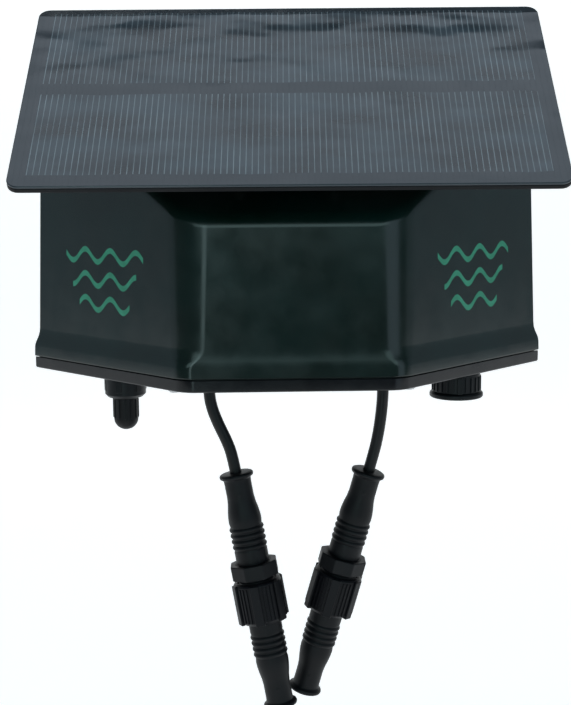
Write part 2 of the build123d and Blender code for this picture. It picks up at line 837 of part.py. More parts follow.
def plug_lower():
    """The far half: nose that enters the socket, shoulder that carries the nut, rubber boot."""
    points = [
        (0, nose_start),
        (plug_nose_radius, nose_start),
        (plug_nose_radius, shoulder_start),
        (plug_shoulder_radius, shoulder_start),
        (plug_shoulder_radius, shoulder_start + shoulder_height),
        (plug_body_radius, shoulder_start + shoulder_height),
    ]
    points += list(reversed(boot_profile(plug_length, -1)))
    points += [(0, plug_length)]
    body = turned(points)
    for side in (-1, 1):
        body -= Pos(side * 2.2, 0, nose_start) * rod(contact_radius + moving_gap, 9.0, -1.0)
    body -= rod(lead_radius + seat_gap, 12.0, plug_length - 11.0)
    body -= Pos(plug_neck_radius, 0, plug_length - 8.0) * Sphere(1.0)
    body -= Pos(-plug_neck_radius, 0, plug_length - 8.0) * Sphere(1.0)
    return body


def plug_seal():
    """The face seal between the two halves."""
    return ring(plug_thread_radius - 0.3, plug_nose_radius + 0.02, 1.0, shoulder_start - 1.0)


def coupling_nut():
    """The ribbed nut that turns on the far half's shoulder and covers the thread."""
    wall_z = shoulder_start - moving_gap
    body = rod(nut_body_radius, nut_length, nut_start)
    outline = body.edges().filter_by(GeomType.CIRCLE)
    body = chamfer(outline, 0.6)
    for rib in range(nut_ribs):
        place = Rot(0, 0, rib * 360.0 / nut_ribs) * Pos(nut_body_radius, 0, nut_start + nut_length / 2)
        body += place * Box(2 * (nut_rib_radius - nut_body_radius), 1.7, nut_length - 2.0)
    body -= rod(plug_thread_radius + moving_gap, nut_length, nut_start - 1.0) & rod(20, wall_z, 0)
    hub_room = shoulder_height + 2 * moving_gap
    body -= rod(plug_shoulder_radius + moving_gap, hub_room, wall_z)
    body -= rod(plug_body_radius + moving_gap, nut_length, wall_z)
    return body


# ---------------------------------------------------------------- inside the case

def pump_frame():
    """The pump's axis: origin at the pump's back, Z forwards (towards the front of the case)."""
    return at(pump_place, pump_centre_height) * Rot(90, 0, 0)


def pump_housing():
    """The pump's cup: a back wall, the round track and two tube slots at its foot."""
    body = rod(pump_radius, pump_depth - pump_wall)
    body -= rod(pump_track_radius, pump_depth, pump_wall)
    body -= rod(pump_shaft_radius + running_gap, pump_depth, -1.0)
    slot_z = pump_wall + 1.0
    slot_height = pump_depth
    for side in (-1, 1):
        slot = block((6.2, pump_radius, slot_height), (0, 0, slot_z))
        body -= Pos(side * tube_leg_x() - 3.1, -pump_radius - 2.0, 0) * slot
    for x, y in pump_screw_places():
        body += Pos(x, y, 0) * rod(3.0, pump_depth - pump_wall) - rod(pump_track_radius, pump_depth, pump_wall)
        body -= Pos(x, y, 3.0) * rod(1.1, pump_depth)
    return pump_frame() * body


def pump_screw_places():
    """The cover's three screws, round the cup's rim."""
    reach = pump_radius
    return [(reach * math.cos(math.radians(a)), reach * math.sin(math.radians(a))) for a in (30, 150, 90)]


def tube_track():
    """The radius of the squeezed tube's middle line on the track."""
    return pump_track_radius - tube_flat - seat_gap


def tube_leg_x():
    """How far each leg of the pump's tube stands from the pump's middle."""
    return tube_track() * math.cos(math.radians(tube_leg_angle))


def fitting_top():
    """The height of a fitting's inner end above the underside of the case."""
    return tray_floor + outlet_thread_height


def tube_mid_z():
    """The middle of the tube along the pump's axis."""
    return pump_wall + 1.6 + roller_length / 2 + 0.8


def pump_tube():
    """The pump's tube, drawn squeezed flat all along the track, with two legs out of the cup."""
    radius = tube_track()
    arc = CenterArc((0, 0, tube_mid_z()), radius, -tube_leg_angle, 180.0 + 2 * tube_leg_angle)
    section = Plane(origin=arc @ 0, x_dir=(0, 0, 1), z_dir=arc % 0) * RectangleRounded(6.0, 2 * tube_flat, 1.2)
    body = sweep(section, path=arc)
    rollers_reach = roller_orbit() + roller_radius + moving_gap
    top = -math.sqrt(rollers_reach ** 2 - (tube_leg_x() - tube_outer) ** 2)
    for side in (-1, 1):
        x = side * tube_leg_x()
        low = fitting_top() - pump_centre_height if side > 0 else -pump_radius - 1.0
        leg = Pos(x, (top + low) / 2, tube_mid_z()) * Rot(90, 0, 0) * Cylinder(tube_outer, top - low)
        body += leg
    return pump_frame() * body


def outlet_hose():
    """The hose inside the case from the pump's left leg, over the tray's floor, to the outlet's elbow."""
    start_x = pump_place[0] - tube_leg_x()
    start_y = pump_place[1] - tube_mid_z()
    start_z = pump_centre_height - pump_radius - 1.0
    end_x = outlet_place[0] + outlet_elbow_reach
    end_y = outlet_place[1]
    end_z = outlet_elbow_height
    route = [
        (start_x, start_y, start_z),
        (start_x, start_y, start_z - 6.0),
        (start_x - 3.5, start_y - 0.8, start_z - 10.5),
        (start_x - 10.0, start_y - 2.6, start_z - 12.2),
        (start_x - 24.0, start_y - 6.5, end_z - 0.6),
        (end_x + 24.0, end_y - 2.2, end_z - 0.5),
        (end_x + 8.0, end_y, end_z),
        (end_x, end_y, end_z),
    ]
    return lead_tube("outlet_hose", route, tube_outer)


def roller_orbit():
    """The distance from the pump's axis to each roller's pin."""
    return tube_track() - tube_flat - roller_radius - moving_gap


def roller_place(index):
    """The plan place of one roller on the pump's axis frame."""
    angle = math.radians(90 + index * 360.0 / roller_count)
    return roller_orbit() * math.cos(angle), roller_orbit() * math.sin(angle)


def pump_rotor():
    """The rotor: two three-lobed plates on a hub, joined by the roller pins."""
    low = pump_wall + 0.8
    high = low + rotor_plate + roller_length + 2 * 0.4
    body = rod(4.6, high + rotor_plate - low, low)
    for z in (low, high):
        body += rod(roller_orbit() * 0.72, rotor_plate, z)
        for index in range(roller_count):
            x, y = roller_place(index)
            body += Pos(x, y, z) * rod(3.2, rotor_plate)
            arm = Rot(0, 0, 90 + index * 120) * block((roller_orbit(), 6.4, rotor_plate), (0, -3.2, z))
            body += arm
    gap_z = low + rotor_plate
    for index in range(roller_count):
        x, y = roller_place(index)
        body -= Pos(x, y, gap_z) * rod(roller_radius + moving_gap, high - gap_z)
        body += Pos(x, y, low) * rod(roller_pin_radius, high + rotor_plate - low)
    body -= rod(pump_shaft_radius + 0.01, pump_depth, 0)
    return pump_frame() * body


def pump_roller(index):
    """One roller on its pin."""
    low = pump_wall + 0.8 + rotor_plate + 0.4
    x, y = roller_place(index)
    roller = Pos(x, y, low) * ring(roller_radius, roller_pin_radius + running_gap, roller_length)
    return pump_frame() * roller


def pump_shaft():
    """The gearbox's output shaft, fixed in the rotor."""
    start = 1.0
    return pump_frame() * rod(pump_shaft_radius, pump_depth + 5.0 - start, start)


def pump_cover():
    """The plate that closes the cup and carries the gearbox."""
    plate_z = pump_depth - pump_wall
    plate = rod(pump_radius, pump_wall, plate_z)
    for x, y in pump_screw_places():
        plate += Pos(x, y, plate_z) * rod(3.0, pump_wall)
        plate -= Pos(x, y, plate_z) * rod(1.3, pump_wall + 2, -1)
    plate -= rod(pump_shaft_radius + running_gap, pump_wall + 2, plate_z - 1)
    return pump_frame() * plate


def pump_screws():
    """The cover's screws."""
    screw = rod(2.0, 1.2) + rod(1.05, 8.0, -8.0)
    return [pump_frame() * Pos(x, y, pump_depth) * screw for x, y in pump_screw_places()]


def gearbox():
    """The reduction gearbox on the pump's cover."""
    body = rod(gearbox_radius, gearbox_length, pump_depth)
    body -= rod(pump_shaft_radius + running_gap, 6.0, pump_depth - 0.5)
    return pump_frame() * body


def pump_motor():
    """The small direct-current motor: can, end cap and two tags."""
    low = pump_depth + gearbox_length
    body = rod(motor_radius, motor_length, low)
    body = chamfer(body.edges().sort_by(Axis.Z)[-1], 0.8)
    for side in (-1, 1):
        body += Pos(side * 5.0, 0, low + motor_length + 0.8) * Box(2.2, 0.5, 3.4)
    return pump_frame() * body


def pump_cradle():
    """The saddle on the tray's floor under the gearbox and the pump's cover."""
    height = pump_centre_height - tray_floor
    width = 22.0
    depth = gearbox_length - 2.0
    y_mid = pump_place[1] - pump_depth - gearbox_length / 2
    saddle = at((pump_place[0], y_mid), tray_floor + height / 2) * Box(width, depth, height)
    cut = pump_frame() * rod(gearbox_radius + seat_gap, gearbox_length + 10.0, pump_depth - 5.0)
    window = at((pump_place[0], y_mid), tray_floor + 10.0) * Box(width - 9.0, depth + 2.0, 11.0)
    return saddle - cut - window


def battery_centre(index):
    """The height of one cell's middle above the underside of the case."""
    return battery_floor + battery_pitch * (index + 0.5)


def cell_place():
    """The plan place of the cells' middle: against the pad on the case's back wall."""
    depth = case_wall + seat_gap + holder_pad_wall + holder_wall + seat_gap + battery_radius
    return battery_middle, -depth


def holder_length():
    """The battery holder's length, with room for the contact springs."""
    return battery_length + 8.0 + 2 * holder_wall


def battery_holder():
    """The open-fronted holder against the back wall: floor, back, ends and two thin rails."""
    height = battery_count * battery_pitch + 2 * holder_wall
    depth = 2 * battery_radius + holder_wall + 0.6
    body = Box(holder_length(), depth, height)
    room = Pos(0, -holder_wall, 0) * Box(holder_length() - 2 * holder_wall, depth, height - 2 * holder_wall)
    body -= room
    for index in range(1, battery_count):
        z = -height / 2 + holder_wall + index * battery_pitch
        rail = Pos(0, depth / 2 - holder_wall - 2.0, z) * Box(holder_length() - 2 * holder_wall, 4.0, 0.7)
        body += rail
    middle = battery_floor + battery_count * battery_pitch / 2
    back_gap = battery_radius + seat_gap + holder_wall - depth / 2
    return at(cell_place(), middle) * Pos(0, back_gap, 0) * body


def holder_pad():
    """The foam tape that holds the battery holder to the back wall."""
    height = battery_count * battery_pitch - 8.0
    middle = battery_floor + battery_count * battery_pitch / 2
    y = -case_wall - seat_gap / 2 - holder_pad_wall / 2
    return at((battery_middle, y), middle) * Box(holder_length() - 10.0, holder_pad_wall, height)


def battery_cells():
    """The three rechargeable cells, each with its cap."""
    cells = []
    for index in range(battery_count):
        cell = Rot(0, 90, 0) * Cylinder(battery_radius, battery_length)
        cell += Pos(battery_length / 2 + 0.5, 0, 0) * Rot(0, 90, 0) * Cylinder(2.7, 1.0)
        turn = Rot(0, 0, 180 * (index % 2))
        cells.append(at(cell_place(), battery_centre(index)) * turn * cell)
    return cells


def battery_contacts():
    """A contact plate at each end of each cell, with a spring of flat coils at its flat end."""
    contacts = []
    reach = holder_length() / 2 - holder_wall
    for index in range(battery_count):
        turn = Rot(0, 0, 180 * (index % 2))
        place = at(cell_place(), battery_centre(index)) * turn
        gap_plus = reach - battery_length / 2 - 1.0
        plate = Pos(reach - gap_plus / 2, 0, 0) * Box(gap_plus - 2 * seat_gap, 8.0, 9.0)
        contacts.append(place * plate)
        gap_minus = reach - battery_length / 2
        spring = Rot(0, -90, 0) * rod(3.4, 0.6)
        for coil in range(3):
            radius = 3.4 - 0.5 * coil
            spring += Pos(-0.6 - coil * 1.1, 0, 0) * Rot(0, -90, 0) * rod(radius, 0.6)
            spring += Pos(-0.3 - coil * 1.1, 0, 0) * Rot(0, -90, 0) * rod(0.6, 1.2)
        spring_room = gap_minus - 2 * seat_gap
        base_plate = Pos(-spring_room + 0.3, 0, 0) * Box(0.6, 8.0, 9.0)
        spring += base_plate
        start = Pos(-battery_length / 2 - seat_gap, 0, 0)
        contacts.append(place * start * spring)
    return contacts


def control_board():
    """The printed circuit board in the tray's two slotted posts."""
    board = at(board_place, board_floor + board_size[2] / 2) * Box(*board_size)
    return board


def board_parts():
    """What stands on the board's back: controller chip, capacitor, coil, terminals and driver."""
    face_y = board_place[1] + board_size[1] / 2
    mid_x = board_place[0]

    def on_board(x, z, width, depth, height):
        return at((mid_x + x, face_y + depth / 2), board_floor + z) * Box(width, depth, height)

    parts = [
        on_board(-6.0, 22.0, 13.0, 1.4, 8.0),
        on_board(10.0, 28.0, 6.0, 1.6, 5.0),
        on_board(9.0, 8.0, 15.0, 7.0, 7.0),
        on_board(12.5, 18.5, 6.0, 3.2, 6.0),
    ]
    capacitor = at((mid_x - 12.0, face_y), board_floor + 9.0) * Rot(-90, 0, 0) * rod(4.0, 9.0)
    parts.append(capacitor)
    return parts


def grommet(place):
    """The rubber grommet that a lead leaves the tray through."""
    waist = grommet_radius - grommet_lip
    bore = lead_radius + 0.02
    body = ring(waist, bore, tray_floor + 0.02, 0)
    body += ring(grommet_radius, bore, grommet_lip, tray_floor)
    return at(place) * body


# ---------------------------------------------------------------- every node

left_frame = plug_frame(lead_route_left)
right_frame = plug_frame(lead_route_right)


def placed(frame, pieces):
    """A solid, or each solid of a list, moved into a frame."""
    if isinstance(pieces, list):
        return [frame * piece for piece in pieces]
    return frame * pieces


def all_nodes():
    """Every node's name and its solid or list of solids."""
    nodes = {
        "housing_cover": housing_cover(),
        "base_tray": base_tray(),
        "base_gasket": base_gasket(),
        "case_screws": case_screws(),
        "wall_bracket": wall_bracket(),
        "bracket_screws": bracket_screws(),
        "swivel_post": swivel_post(),
        "post_clip": post_clip(),
        "panel_tray": panel_tray(),
        "solar_cells": solar_cells(),
        "solar_laminate": solar_laminate(),
        "junction_box": junction_box(),
        "junction_lid": junction_lid_plate(),
        "junction_screws": junction_screws(),
        "panel_bracket": panel_bracket(),
        "bracket_plate_screws": bracket_plate_screws(),
        "tilt_bolt": tilt_bolt(),
        "tilt_nut": tilt_nut(),
        "control_knob": control_knob(),
        "switch_shaft": switch_shaft(),
        "rotary_switch": rotary_switch(),
        "outlet_fitting": outlet_fitting(),
        "outlet_nut": outlet_nut(),
        "outlet_cap": outlet_cap(),
        "inlet_fitting": inlet_fitting(),
        "inlet_nut": inlet_nut(),
        "pump_housing": pump_housing(),
        "pump_tube": pump_tube(),
        "pump_rotor": pump_rotor(),
        "pump_shaft": pump_shaft(),
        "pump_cover": pump_cover(),
        "pump_screws": pump_screws(),
        "gearbox": gearbox(),
        "pump_motor": pump_motor(),
        "pump_cradle": pump_cradle(),
        "outlet_hose": outlet_hose(),
        "battery_holder": battery_holder(),
        "holder_pad": holder_pad(),
        "battery_cells": battery_cells(),
        "battery_contacts": battery_contacts(),
        "control_board": control_board(),
        "board_parts": board_parts(),
    }
    for index in range(roller_count):
        nodes[f"pump_roller_{index + 1}"] = pump_roller(index)
    sides = (("left", lead_route_left, left_frame), ("right", lead_route_right, right_frame))
    for side, route, frame in sides:
        nodes[f"{side}_grommet"] = grommet(route[0][:2])
        nodes[f"{side}_lead"] = lead_tube(f"{side}_lead", route)
        nodes[f"{side}_plug_upper"] = placed(frame, plug_upper())
        nodes[f"{side}_plug_contacts"] = placed(frame, plug_contacts())
        nodes[f"{side}_plug_lower"] = placed(frame, plug_lower())
        nodes[f"{side}_plug_seal"] = placed(frame, plug_seal())
        nodes[f"{side}_coupling_nut"] = placed(frame, coupling_nut())
    return nodes


def write_nodes(nodes):
    """Write each node to its own STEP file."""
    os.makedirs("parts", exist_ok=True)
    for name, solid in nodes.items():
        pieces = solid if isinstance(solid, list) else [solid]
        shape = Compound(children=[p for piece in pieces for p in piece.solids()])
        shape.label = name
        export_step(shape, f"parts/{name}.step")


write_nodes(all_nodes())
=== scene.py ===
"""Solar drip irrigation timer: the visible pieces, their finishes and the studio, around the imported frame.

Every piece is built in millimetres in its own frame and then put in its place in metres, in the frame
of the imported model: +Z up, +Y into the wall, the origin on the back of the wall bracket.
"""
import json
import logging
import math
from dataclasses import dataclass, field
from enum import Enum
from typing import Iterable, Sequence

import bmesh
import bpy
from mathutils import Matrix, Vector


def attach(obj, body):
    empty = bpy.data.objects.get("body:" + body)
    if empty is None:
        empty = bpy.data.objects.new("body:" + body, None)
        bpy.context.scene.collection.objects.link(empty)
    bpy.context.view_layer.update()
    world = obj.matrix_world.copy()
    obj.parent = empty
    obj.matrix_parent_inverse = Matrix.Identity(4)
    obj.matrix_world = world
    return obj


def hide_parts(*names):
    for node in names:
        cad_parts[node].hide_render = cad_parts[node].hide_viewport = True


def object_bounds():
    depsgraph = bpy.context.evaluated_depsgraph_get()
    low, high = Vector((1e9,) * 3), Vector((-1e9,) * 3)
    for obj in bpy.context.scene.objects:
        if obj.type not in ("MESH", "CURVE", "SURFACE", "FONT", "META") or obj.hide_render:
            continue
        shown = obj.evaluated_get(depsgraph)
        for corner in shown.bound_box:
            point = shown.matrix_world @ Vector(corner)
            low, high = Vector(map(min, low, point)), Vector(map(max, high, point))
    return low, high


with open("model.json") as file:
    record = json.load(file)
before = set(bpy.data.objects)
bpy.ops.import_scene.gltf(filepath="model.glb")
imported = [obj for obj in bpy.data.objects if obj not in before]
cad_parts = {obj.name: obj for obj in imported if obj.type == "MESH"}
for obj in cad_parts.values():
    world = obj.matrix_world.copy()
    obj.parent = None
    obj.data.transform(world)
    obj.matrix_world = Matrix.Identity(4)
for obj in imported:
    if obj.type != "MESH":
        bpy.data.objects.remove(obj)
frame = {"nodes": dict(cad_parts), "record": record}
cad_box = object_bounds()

MM = 0.001
LOG = logging.getLogger("timer")

Profile = Sequence[tuple[float, float]]
Point = tuple[float, float, float]
Tree = bpy.types.NodeTree
Socket = bpy.types.NodeSocket
Node = bpy.types.Node
Object = bpy.types.Object
Mesh = bmesh.types.BMesh
Vert = bmesh.types.BMVert


class Body(Enum):
    """The moving bodies that visible pieces ride on."""

    HOUSING = "housing"
    PANEL = "panel"
    KNOB = "knob"
    OUTLET_CAP = "outlet_cap"
    LEFT_PLUG = "left_plug"
    LEFT_NUT = "left_nut"
    RIGHT_PLUG = "right_plug"
    RIGHT_NUT = "right_nut"


# ---- finishes


def linear(hex_colour: str) -> tuple[float, float, float, float]:
    """Turns an sRGB hex colour into linear light.

    Args:
        hex_colour: such as "#0e2b28".

    Returns:
        Linear red, green, blue and an alpha of 1.
    """
    channels = [int(hex_colour[i:i + 2], 16) / 255.0 for i in (1, 3, 5)]
    lit = [c / 12.92 if c <= 0.04045 else ((c + 0.055) / 1.055) ** 2.4 for c in channels]
    return (lit[0], lit[1], lit[2], 1.0)


def add_node(
    tree: Tree, kind: str, inputs: dict | None = None, **settings: object
) -> Node:
    """Adds one node with its settings, values and links.

    Args:
        tree: the node tree that it joins.
        kind: the node's type name.
        inputs: input name or index to a value, or to the output socket that feeds it.
        settings: the node's own properties.

    Returns:
        The new node.
    """
    node = tree.nodes.new(kind)
    for name, value in settings.items():
        setattr(node, name, value)
    for name, value in (inputs or {}).items():
        if isinstance(value, Socket):
            tree.links.new(value, node.inputs[name])
        else:
            node.inputs[name].default_value = value
    return node


def noise(tree: Tree, place: Socket, size_mm: float, detail: float = 2.0) -> Socket:
    """A smooth random field whose patches are about size_mm across.

    Args:
        tree: the node tree.
        place: coordinates in metres.
        size_mm: how wide one patch is.
        detail: how many finer layers are added.

    Returns:
        The field's output socket, about 0.5 in the middle.
    """
    made = add_node(
        tree, "ShaderNodeTexNoise", {"Vector": place, "Scale": 1.0 / (size_mm * MM), "Detail": detail}
    )
    return made.outputs["Fac"]


def mixed(
    tree: Tree, share: Socket, first: object, second: object
) -> Socket:
    """A colour between two colours or colour sockets, by share.

    Args:
        tree: the node tree.
        share: 0 gives the first, 1 gives the second.
        first: a linear colour or a socket.
        second: a linear colour or a socket.

    Returns:
        The colour's output socket.
    """
    made = add_node(tree, "ShaderNodeMix", {0: share, 6: first, 7: second}, data_type="RGBA")
    return made.outputs[2]


def spread(
    tree: Tree, value: Socket, low: float, high: float,
    to_low: float = 0.0, to_high: float = 1.0,
) -> Socket:
    """A value's range low to high stretched to another range.

    Args:
        tree: the node tree.
        value: the socket to stretch.
        low: the value that becomes to_low.
        high: the value that becomes to_high.
        to_low: the new lowest value.
        to_high: the new highest value.

    Returns:
        The stretched output socket.
    """
    made = add_node(
        tree, "ShaderNodeMapRange",
        {"Value": value, "From Min": low, "From Max": high, "To Min": to_low, "To Max": to_high},
    )
    return made.outputs["Result"]


def relief(
    tree: Tree, height: Socket, depth_mm: float, below: Socket | None = None, strength: float = 1.0
) -> Socket:
    """A bump in the surface.

    Args:
        tree: the node tree.
        height: 0 for the low places, 1 for the high ones.
        depth_mm: how far apart those are.
        below: the relief that this one lies on.
        strength: how much of it is felt.

    Returns:
        The normal's output socket.
    """
    inputs = {"Height": height, "Distance": depth_mm * MM, "Strength": strength}
    if below:
        inputs["Normal"] = below
    return add_node(tree, "ShaderNodeBump", inputs).outputs["Normal"]


@dataclass(frozen=True)
class Finish:
    """One material: what it is made of, and what its surface does to light."""

    name: str
    colour: str = "#202020"
    roughness: float = 0.4
    metallic: float = 0.0
    ior: float = 1.5

    def material(self) -> bpy.types.Material:
        """The finish's material, made the first time it is asked for.

        Returns:
            The material.
        """
        found = bpy.data.materials.get(self.name)
        if found:
            return found
        made = bpy.data.materials.new(self.name)
        made.use_nodes = True
        tree = made.node_tree
        shader = tree.nodes["Principled BSDF"]
        shader.inputs["Metallic"].default_value = self.metallic
        if self.metallic < 0.5:
            shader.inputs["IOR"].default_value = self.ior
        place = add_node(tree, "ShaderNodeTexCoord")
        self.dress(tree, shader, place)
        return made

    def dress(self, tree: Tree, shader: Node, place: Node) -> None:
        """Adds the finish's own pattern.

        Args:
            tree: the material's node tree.
            shader: its Principled shader.
            place: its texture coordinates.
        """
        shader.inputs["Base Color"].default_value = linear(self.colour)
        shader.inputs["Roughness"].default_value = self.roughness


@dataclass(frozen=True)
class Moulded(Finish):
    """Injection-moulded plastic: even colour with a faint flow mottle, a mould grain, and shallow sinks."""

    flow: str = "#242424"
    flow_mm: float = 28.0
    grain_mm: float = 0.9
    grain_depth_mm: float = 0.004
    sink_mm: float = 26.0
    sink_depth_mm: float = 0.05
    roughness_swing: float = 0.06

    def dress(self, tree: Tree, shader: Node, place: Node) -> None:
        """Flow mottle in the colour, handling marks in the gloss, grain and sinks in the relief.

        Args:
            tree, shader, place: as for Finish.dress.
        """
        where = place.outputs["Object"]
        flow = spread(tree, noise(tree, where, self.flow_mm, 3.0), 0.35, 0.65)
        tree.links.new(
            mixed(tree, flow, linear(self.colour), linear(self.flow)), shader.inputs["Base Color"]
        )
        low = self.roughness - self.roughness_swing
        high = self.roughness + self.roughness_swing
        gloss = spread(tree, noise(tree, where, 9.0, 4.0), 0.3, 0.7, low, high)
        tree.links.new(gloss, shader.inputs["Roughness"])
        sinks = relief(tree, noise(tree, where, self.sink_mm, 1.0), self.sink_depth_mm)
        grain = relief(tree, noise(tree, where, self.grain_mm, 2.0), self.grain_depth_mm, sinks)
        tree.links.new(grain, shader.inputs["Normal"])


@dataclass(frozen=True)
class Metal(Finish):
    """Plated or turned metal: fine crossing scratches that spread its highlight."""

    metallic: float = 1.0
    tarnish: str = "#5a5a58"
    scratch_mm: float = 0.5

    def dress(self, tree: Tree, shader: Node, place: Node) -> None:
        """A little tarnish in the colour and fine scratches in the gloss.

        Args:
            tree, shader, place: as for Finish.dress.
        """
        where = place.outputs["Object"]
        worn = spread(tree, noise(tree, where, 3.0, 4.0), 0.5, 0.75, 0.0, 0.6)
        tree.links.new(
            mixed(tree, worn, linear(self.colour), linear(self.tarnish)), shader.inputs["Base Color"]
        )
        scratches = noise(tree, where, self.scratch_mm, 5.0)
        rough = spread(tree, scratches, 0.3, 0.7, self.roughness - 0.1, self.roughness + 0.1)
        tree.links.new(rough, shader.inputs["Roughness"])


@dataclass(frozen=True)
class SolarFilm(Finish):
    """Clear film laminated over two rows of cells, crossed by fine printed silver fingers.

    Its UV map is in metres: u across from the panel's middle, v up the slope from its lower edge.
    """

    margin: str = "#28323a"
    pale: str = "#3b4952"
    finger: str = "#939ea4"
    half_width_mm: float = 93.4
    rows_mm: tuple[tuple[float, float], ...] = ((6.3, 52.8), (59.6, 106.1))
    finger_pitch_mm: float = 2.22
    finger_width_mm: float = 0.34    # a real one is a quarter of this, too fine to show
    finger_depth_mm: float = 0.02
    ripple_mm: float = 30.0
    ripple_depth_mm: float = 1.35
    fall_mm: tuple[float, float] = (104.6, 108.6)
    fall_depth_mm: float = 1.3

    def dress(self, tree: Tree, shader: Node, place: Node) -> None:
        """Cells, fingers and margins in the colour; the film's ripples in the relief.

        Args:
            tree, shader, place: as for Finish.dress.
        """

        def maths(operation: str, *values: object) -> Socket:
            """One Math node's result from its inputs in order."""
            made = add_node(tree, "ShaderNodeMath", dict(enumerate(values)), operation=operation)
            return made.outputs[0]

        flat = place.outputs["UV"]
        parts = add_node(tree, "ShaderNodeSeparateXYZ", {"Vector": flat})
        across, up = parts.outputs["X"], parts.outputs["Y"]
        wander = spread(tree, noise(tree, flat, 16.0, 1.0), 0.0, 1.0, -1.1 * MM, 1.1 * MM)
        up_wavy = maths("ADD", up, wander)
        rows = None
        for low, high in self.rows_mm:
            middle, half = (low + high) / 2 * MM, (high - low) / 2 * MM
            row = maths("COMPARE", up_wavy, middle, half)
            rows = row if rows is None else maths("MAXIMUM", rows, row)
        within = maths("LESS_THAN", maths("ABSOLUTE", across), self.half_width_mm * MM)
        inside = maths("MULTIPLY", within, rows)
        per_metre = 1.0 / (self.finger_pitch_mm * MM)
        phase = maths("FRACT", maths("MULTIPLY", maths("ADD", across, 1.0), per_metre))
        line = maths("COMPARE", phase, 0.5, self.finger_width_mm / self.finger_pitch_mm / 2)
        fade = spread(tree, noise(tree, flat, 22.0, 2.0), 0.3, 0.7, 0.35, 0.9)
        fingers = maths("MULTIPLY", maths("MULTIPLY", line, inside), fade)
        slanted = add_node(
            tree, "ShaderNodeMapping",
            {"Vector": flat, "Rotation": (0.0, 0.0, math.radians(28)), "Scale": (0.55, 1.3, 1.0)},
        )
        patches = spread(tree, noise(tree, slanted.outputs["Vector"], 22.0, 5.0), 0.38, 0.62)
        cell = mixed(tree, patches, linear(self.colour), linear(self.pale))
        surface = mixed(tree, inside, linear(self.margin), cell)
        tree.links.new(mixed(tree, fingers, surface, linear(self.finger)), shader.inputs["Base Color"])
        dull = noise(tree, flat, 12.0, 3.0)
        gloss = spread(tree, dull, 0.3, 0.7, self.roughness - 0.05, self.roughness + 0.06)
        tree.links.new(gloss, shader.inputs["Roughness"])
        ripple = noise(tree, slanted.outputs["Vector"], self.ripple_mm, 1.5)
        waves = relief(tree, ripple, self.ripple_depth_mm)
        edge = spread(tree, up_wavy, self.fall_mm[0] * MM, self.fall_mm[1] * MM, 1.0, 0.0)
        fall = relief(tree, edge, self.fall_depth_mm, waves)
        ridge = relief(tree, line, self.finger_depth_mm, fall, 0.5)
        tree.links.new(ridge, shader.inputs["Normal"])


# ABS moulded in a polished tool: deep green that mirrors the room faintly
GREEN_ABS = Moulded(
    "green_abs_polished", colour="#03140f", flow="#061c19", roughness=0.2, ior=1.5,
    grain_mm=1.6, grain_depth_mm=0.003, sink_mm=34.0, sink_depth_mm=0.09, roughness_swing=0.04,
)
# the same ABS in black, from a lightly blasted tool
BLACK_ABS = Moulded("black_abs_satin", colour="#06090c", flow="#0a0e12", roughness=0.4, ior=1.31)
# ABS of the tray: black, from the same polished tool as the cover
TRAY_ABS = Moulded("black_abs_polished", colour="#030509", flow="#05080d", roughness=0.22, ior=1.4)
# the panel's stiff back sheet: epoxy board, matt black
BACK_SHEET = Moulded("epoxy_back_sheet", colour="#06070b", flow="#0a0c11", roughness=0.5, ior=1.28)
# nylon with glass fibre: black, dry, a little cloudy
BLACK_NYLON = Moulded(
    "black_nylon_moulded", colour="#030408", flow="#06070d", roughness=0.42, ior=1.27,
    grain_mm=0.6, grain_depth_mm=0.01,
)
# soft PVC overmould: black, with a waxy gloss
SOFT_PVC = Moulded(
    "soft_pvc_overmould", colour="#050609", flow="#090b0f", roughness=0.48, ior=1.3,
    grain_mm=0.5, grain_depth_mm=0.008,
)
# extruded PVC jacket: smoother and glossier than the overmould
LEAD_PVC = Moulded(
    "pvc_jacket_extruded", colour="#050608", flow="#090a0d", ior=1.34, roughness=0.34, grain_mm=0.8
)
# natural rubber bushes and seals: dead black
RUBBER = Moulded(
    "rubber_moulded", colour="#0e0e0f", flow="#151515", roughness=0.66, grain_mm=0.4, grain_depth_mm=0.01
)
SOLAR_FILM = SolarFilm("solar_film_laminated", colour="#1b242b", roughness=0.13, ior=1.5)
SILICON = Moulded("silicon_cell", colour="#171b26", flow="#1d2230", roughness=0.25)
ZINC_STEEL = Metal("zinc_plated_steel", colour="#b4b6b8", roughness=0.34)
BRASS = Metal("turned_brass", colour="#c9a55a", roughness=0.26, tarnish="#8a6a35")
NICKEL = Metal("nickel_plated_spring_steel", colour="#bdbab2", roughness=0.24)
NATURAL_NYLON = Moulded("natural_nylon_moulded", colour="#d6d3c4", flow="#dedbcf", roughness=0.45)
SILICONE = Moulded("silicone_tube_extruded", colour="#c9c8c0", flow="#d4d3cb", roughness=0.4)
SLEEVE = Moulded("pvc_shrink_sleeve", colour="#1c6b3c", flow="#217544", roughness=0.28)
SOLDER_MASK = Moulded("solder_mask", colour="#14512c", flow="#185c33", roughness=0.3)
EPOXY = Moulded("moulded_epoxy", colour="#1b1b1c", flow="#212122", roughness=0.5)
# screen-printing ink, a touch proud of the ABS and flatter than it
GREEN_INK = Moulded(
    "green_screen_ink", colour="#1f8264", flow="#2b9273", flow_mm=5.0, roughness=0.42, grain_mm=0.5,
    grain_depth_mm=0.006, sink_depth_mm=0.01,
)

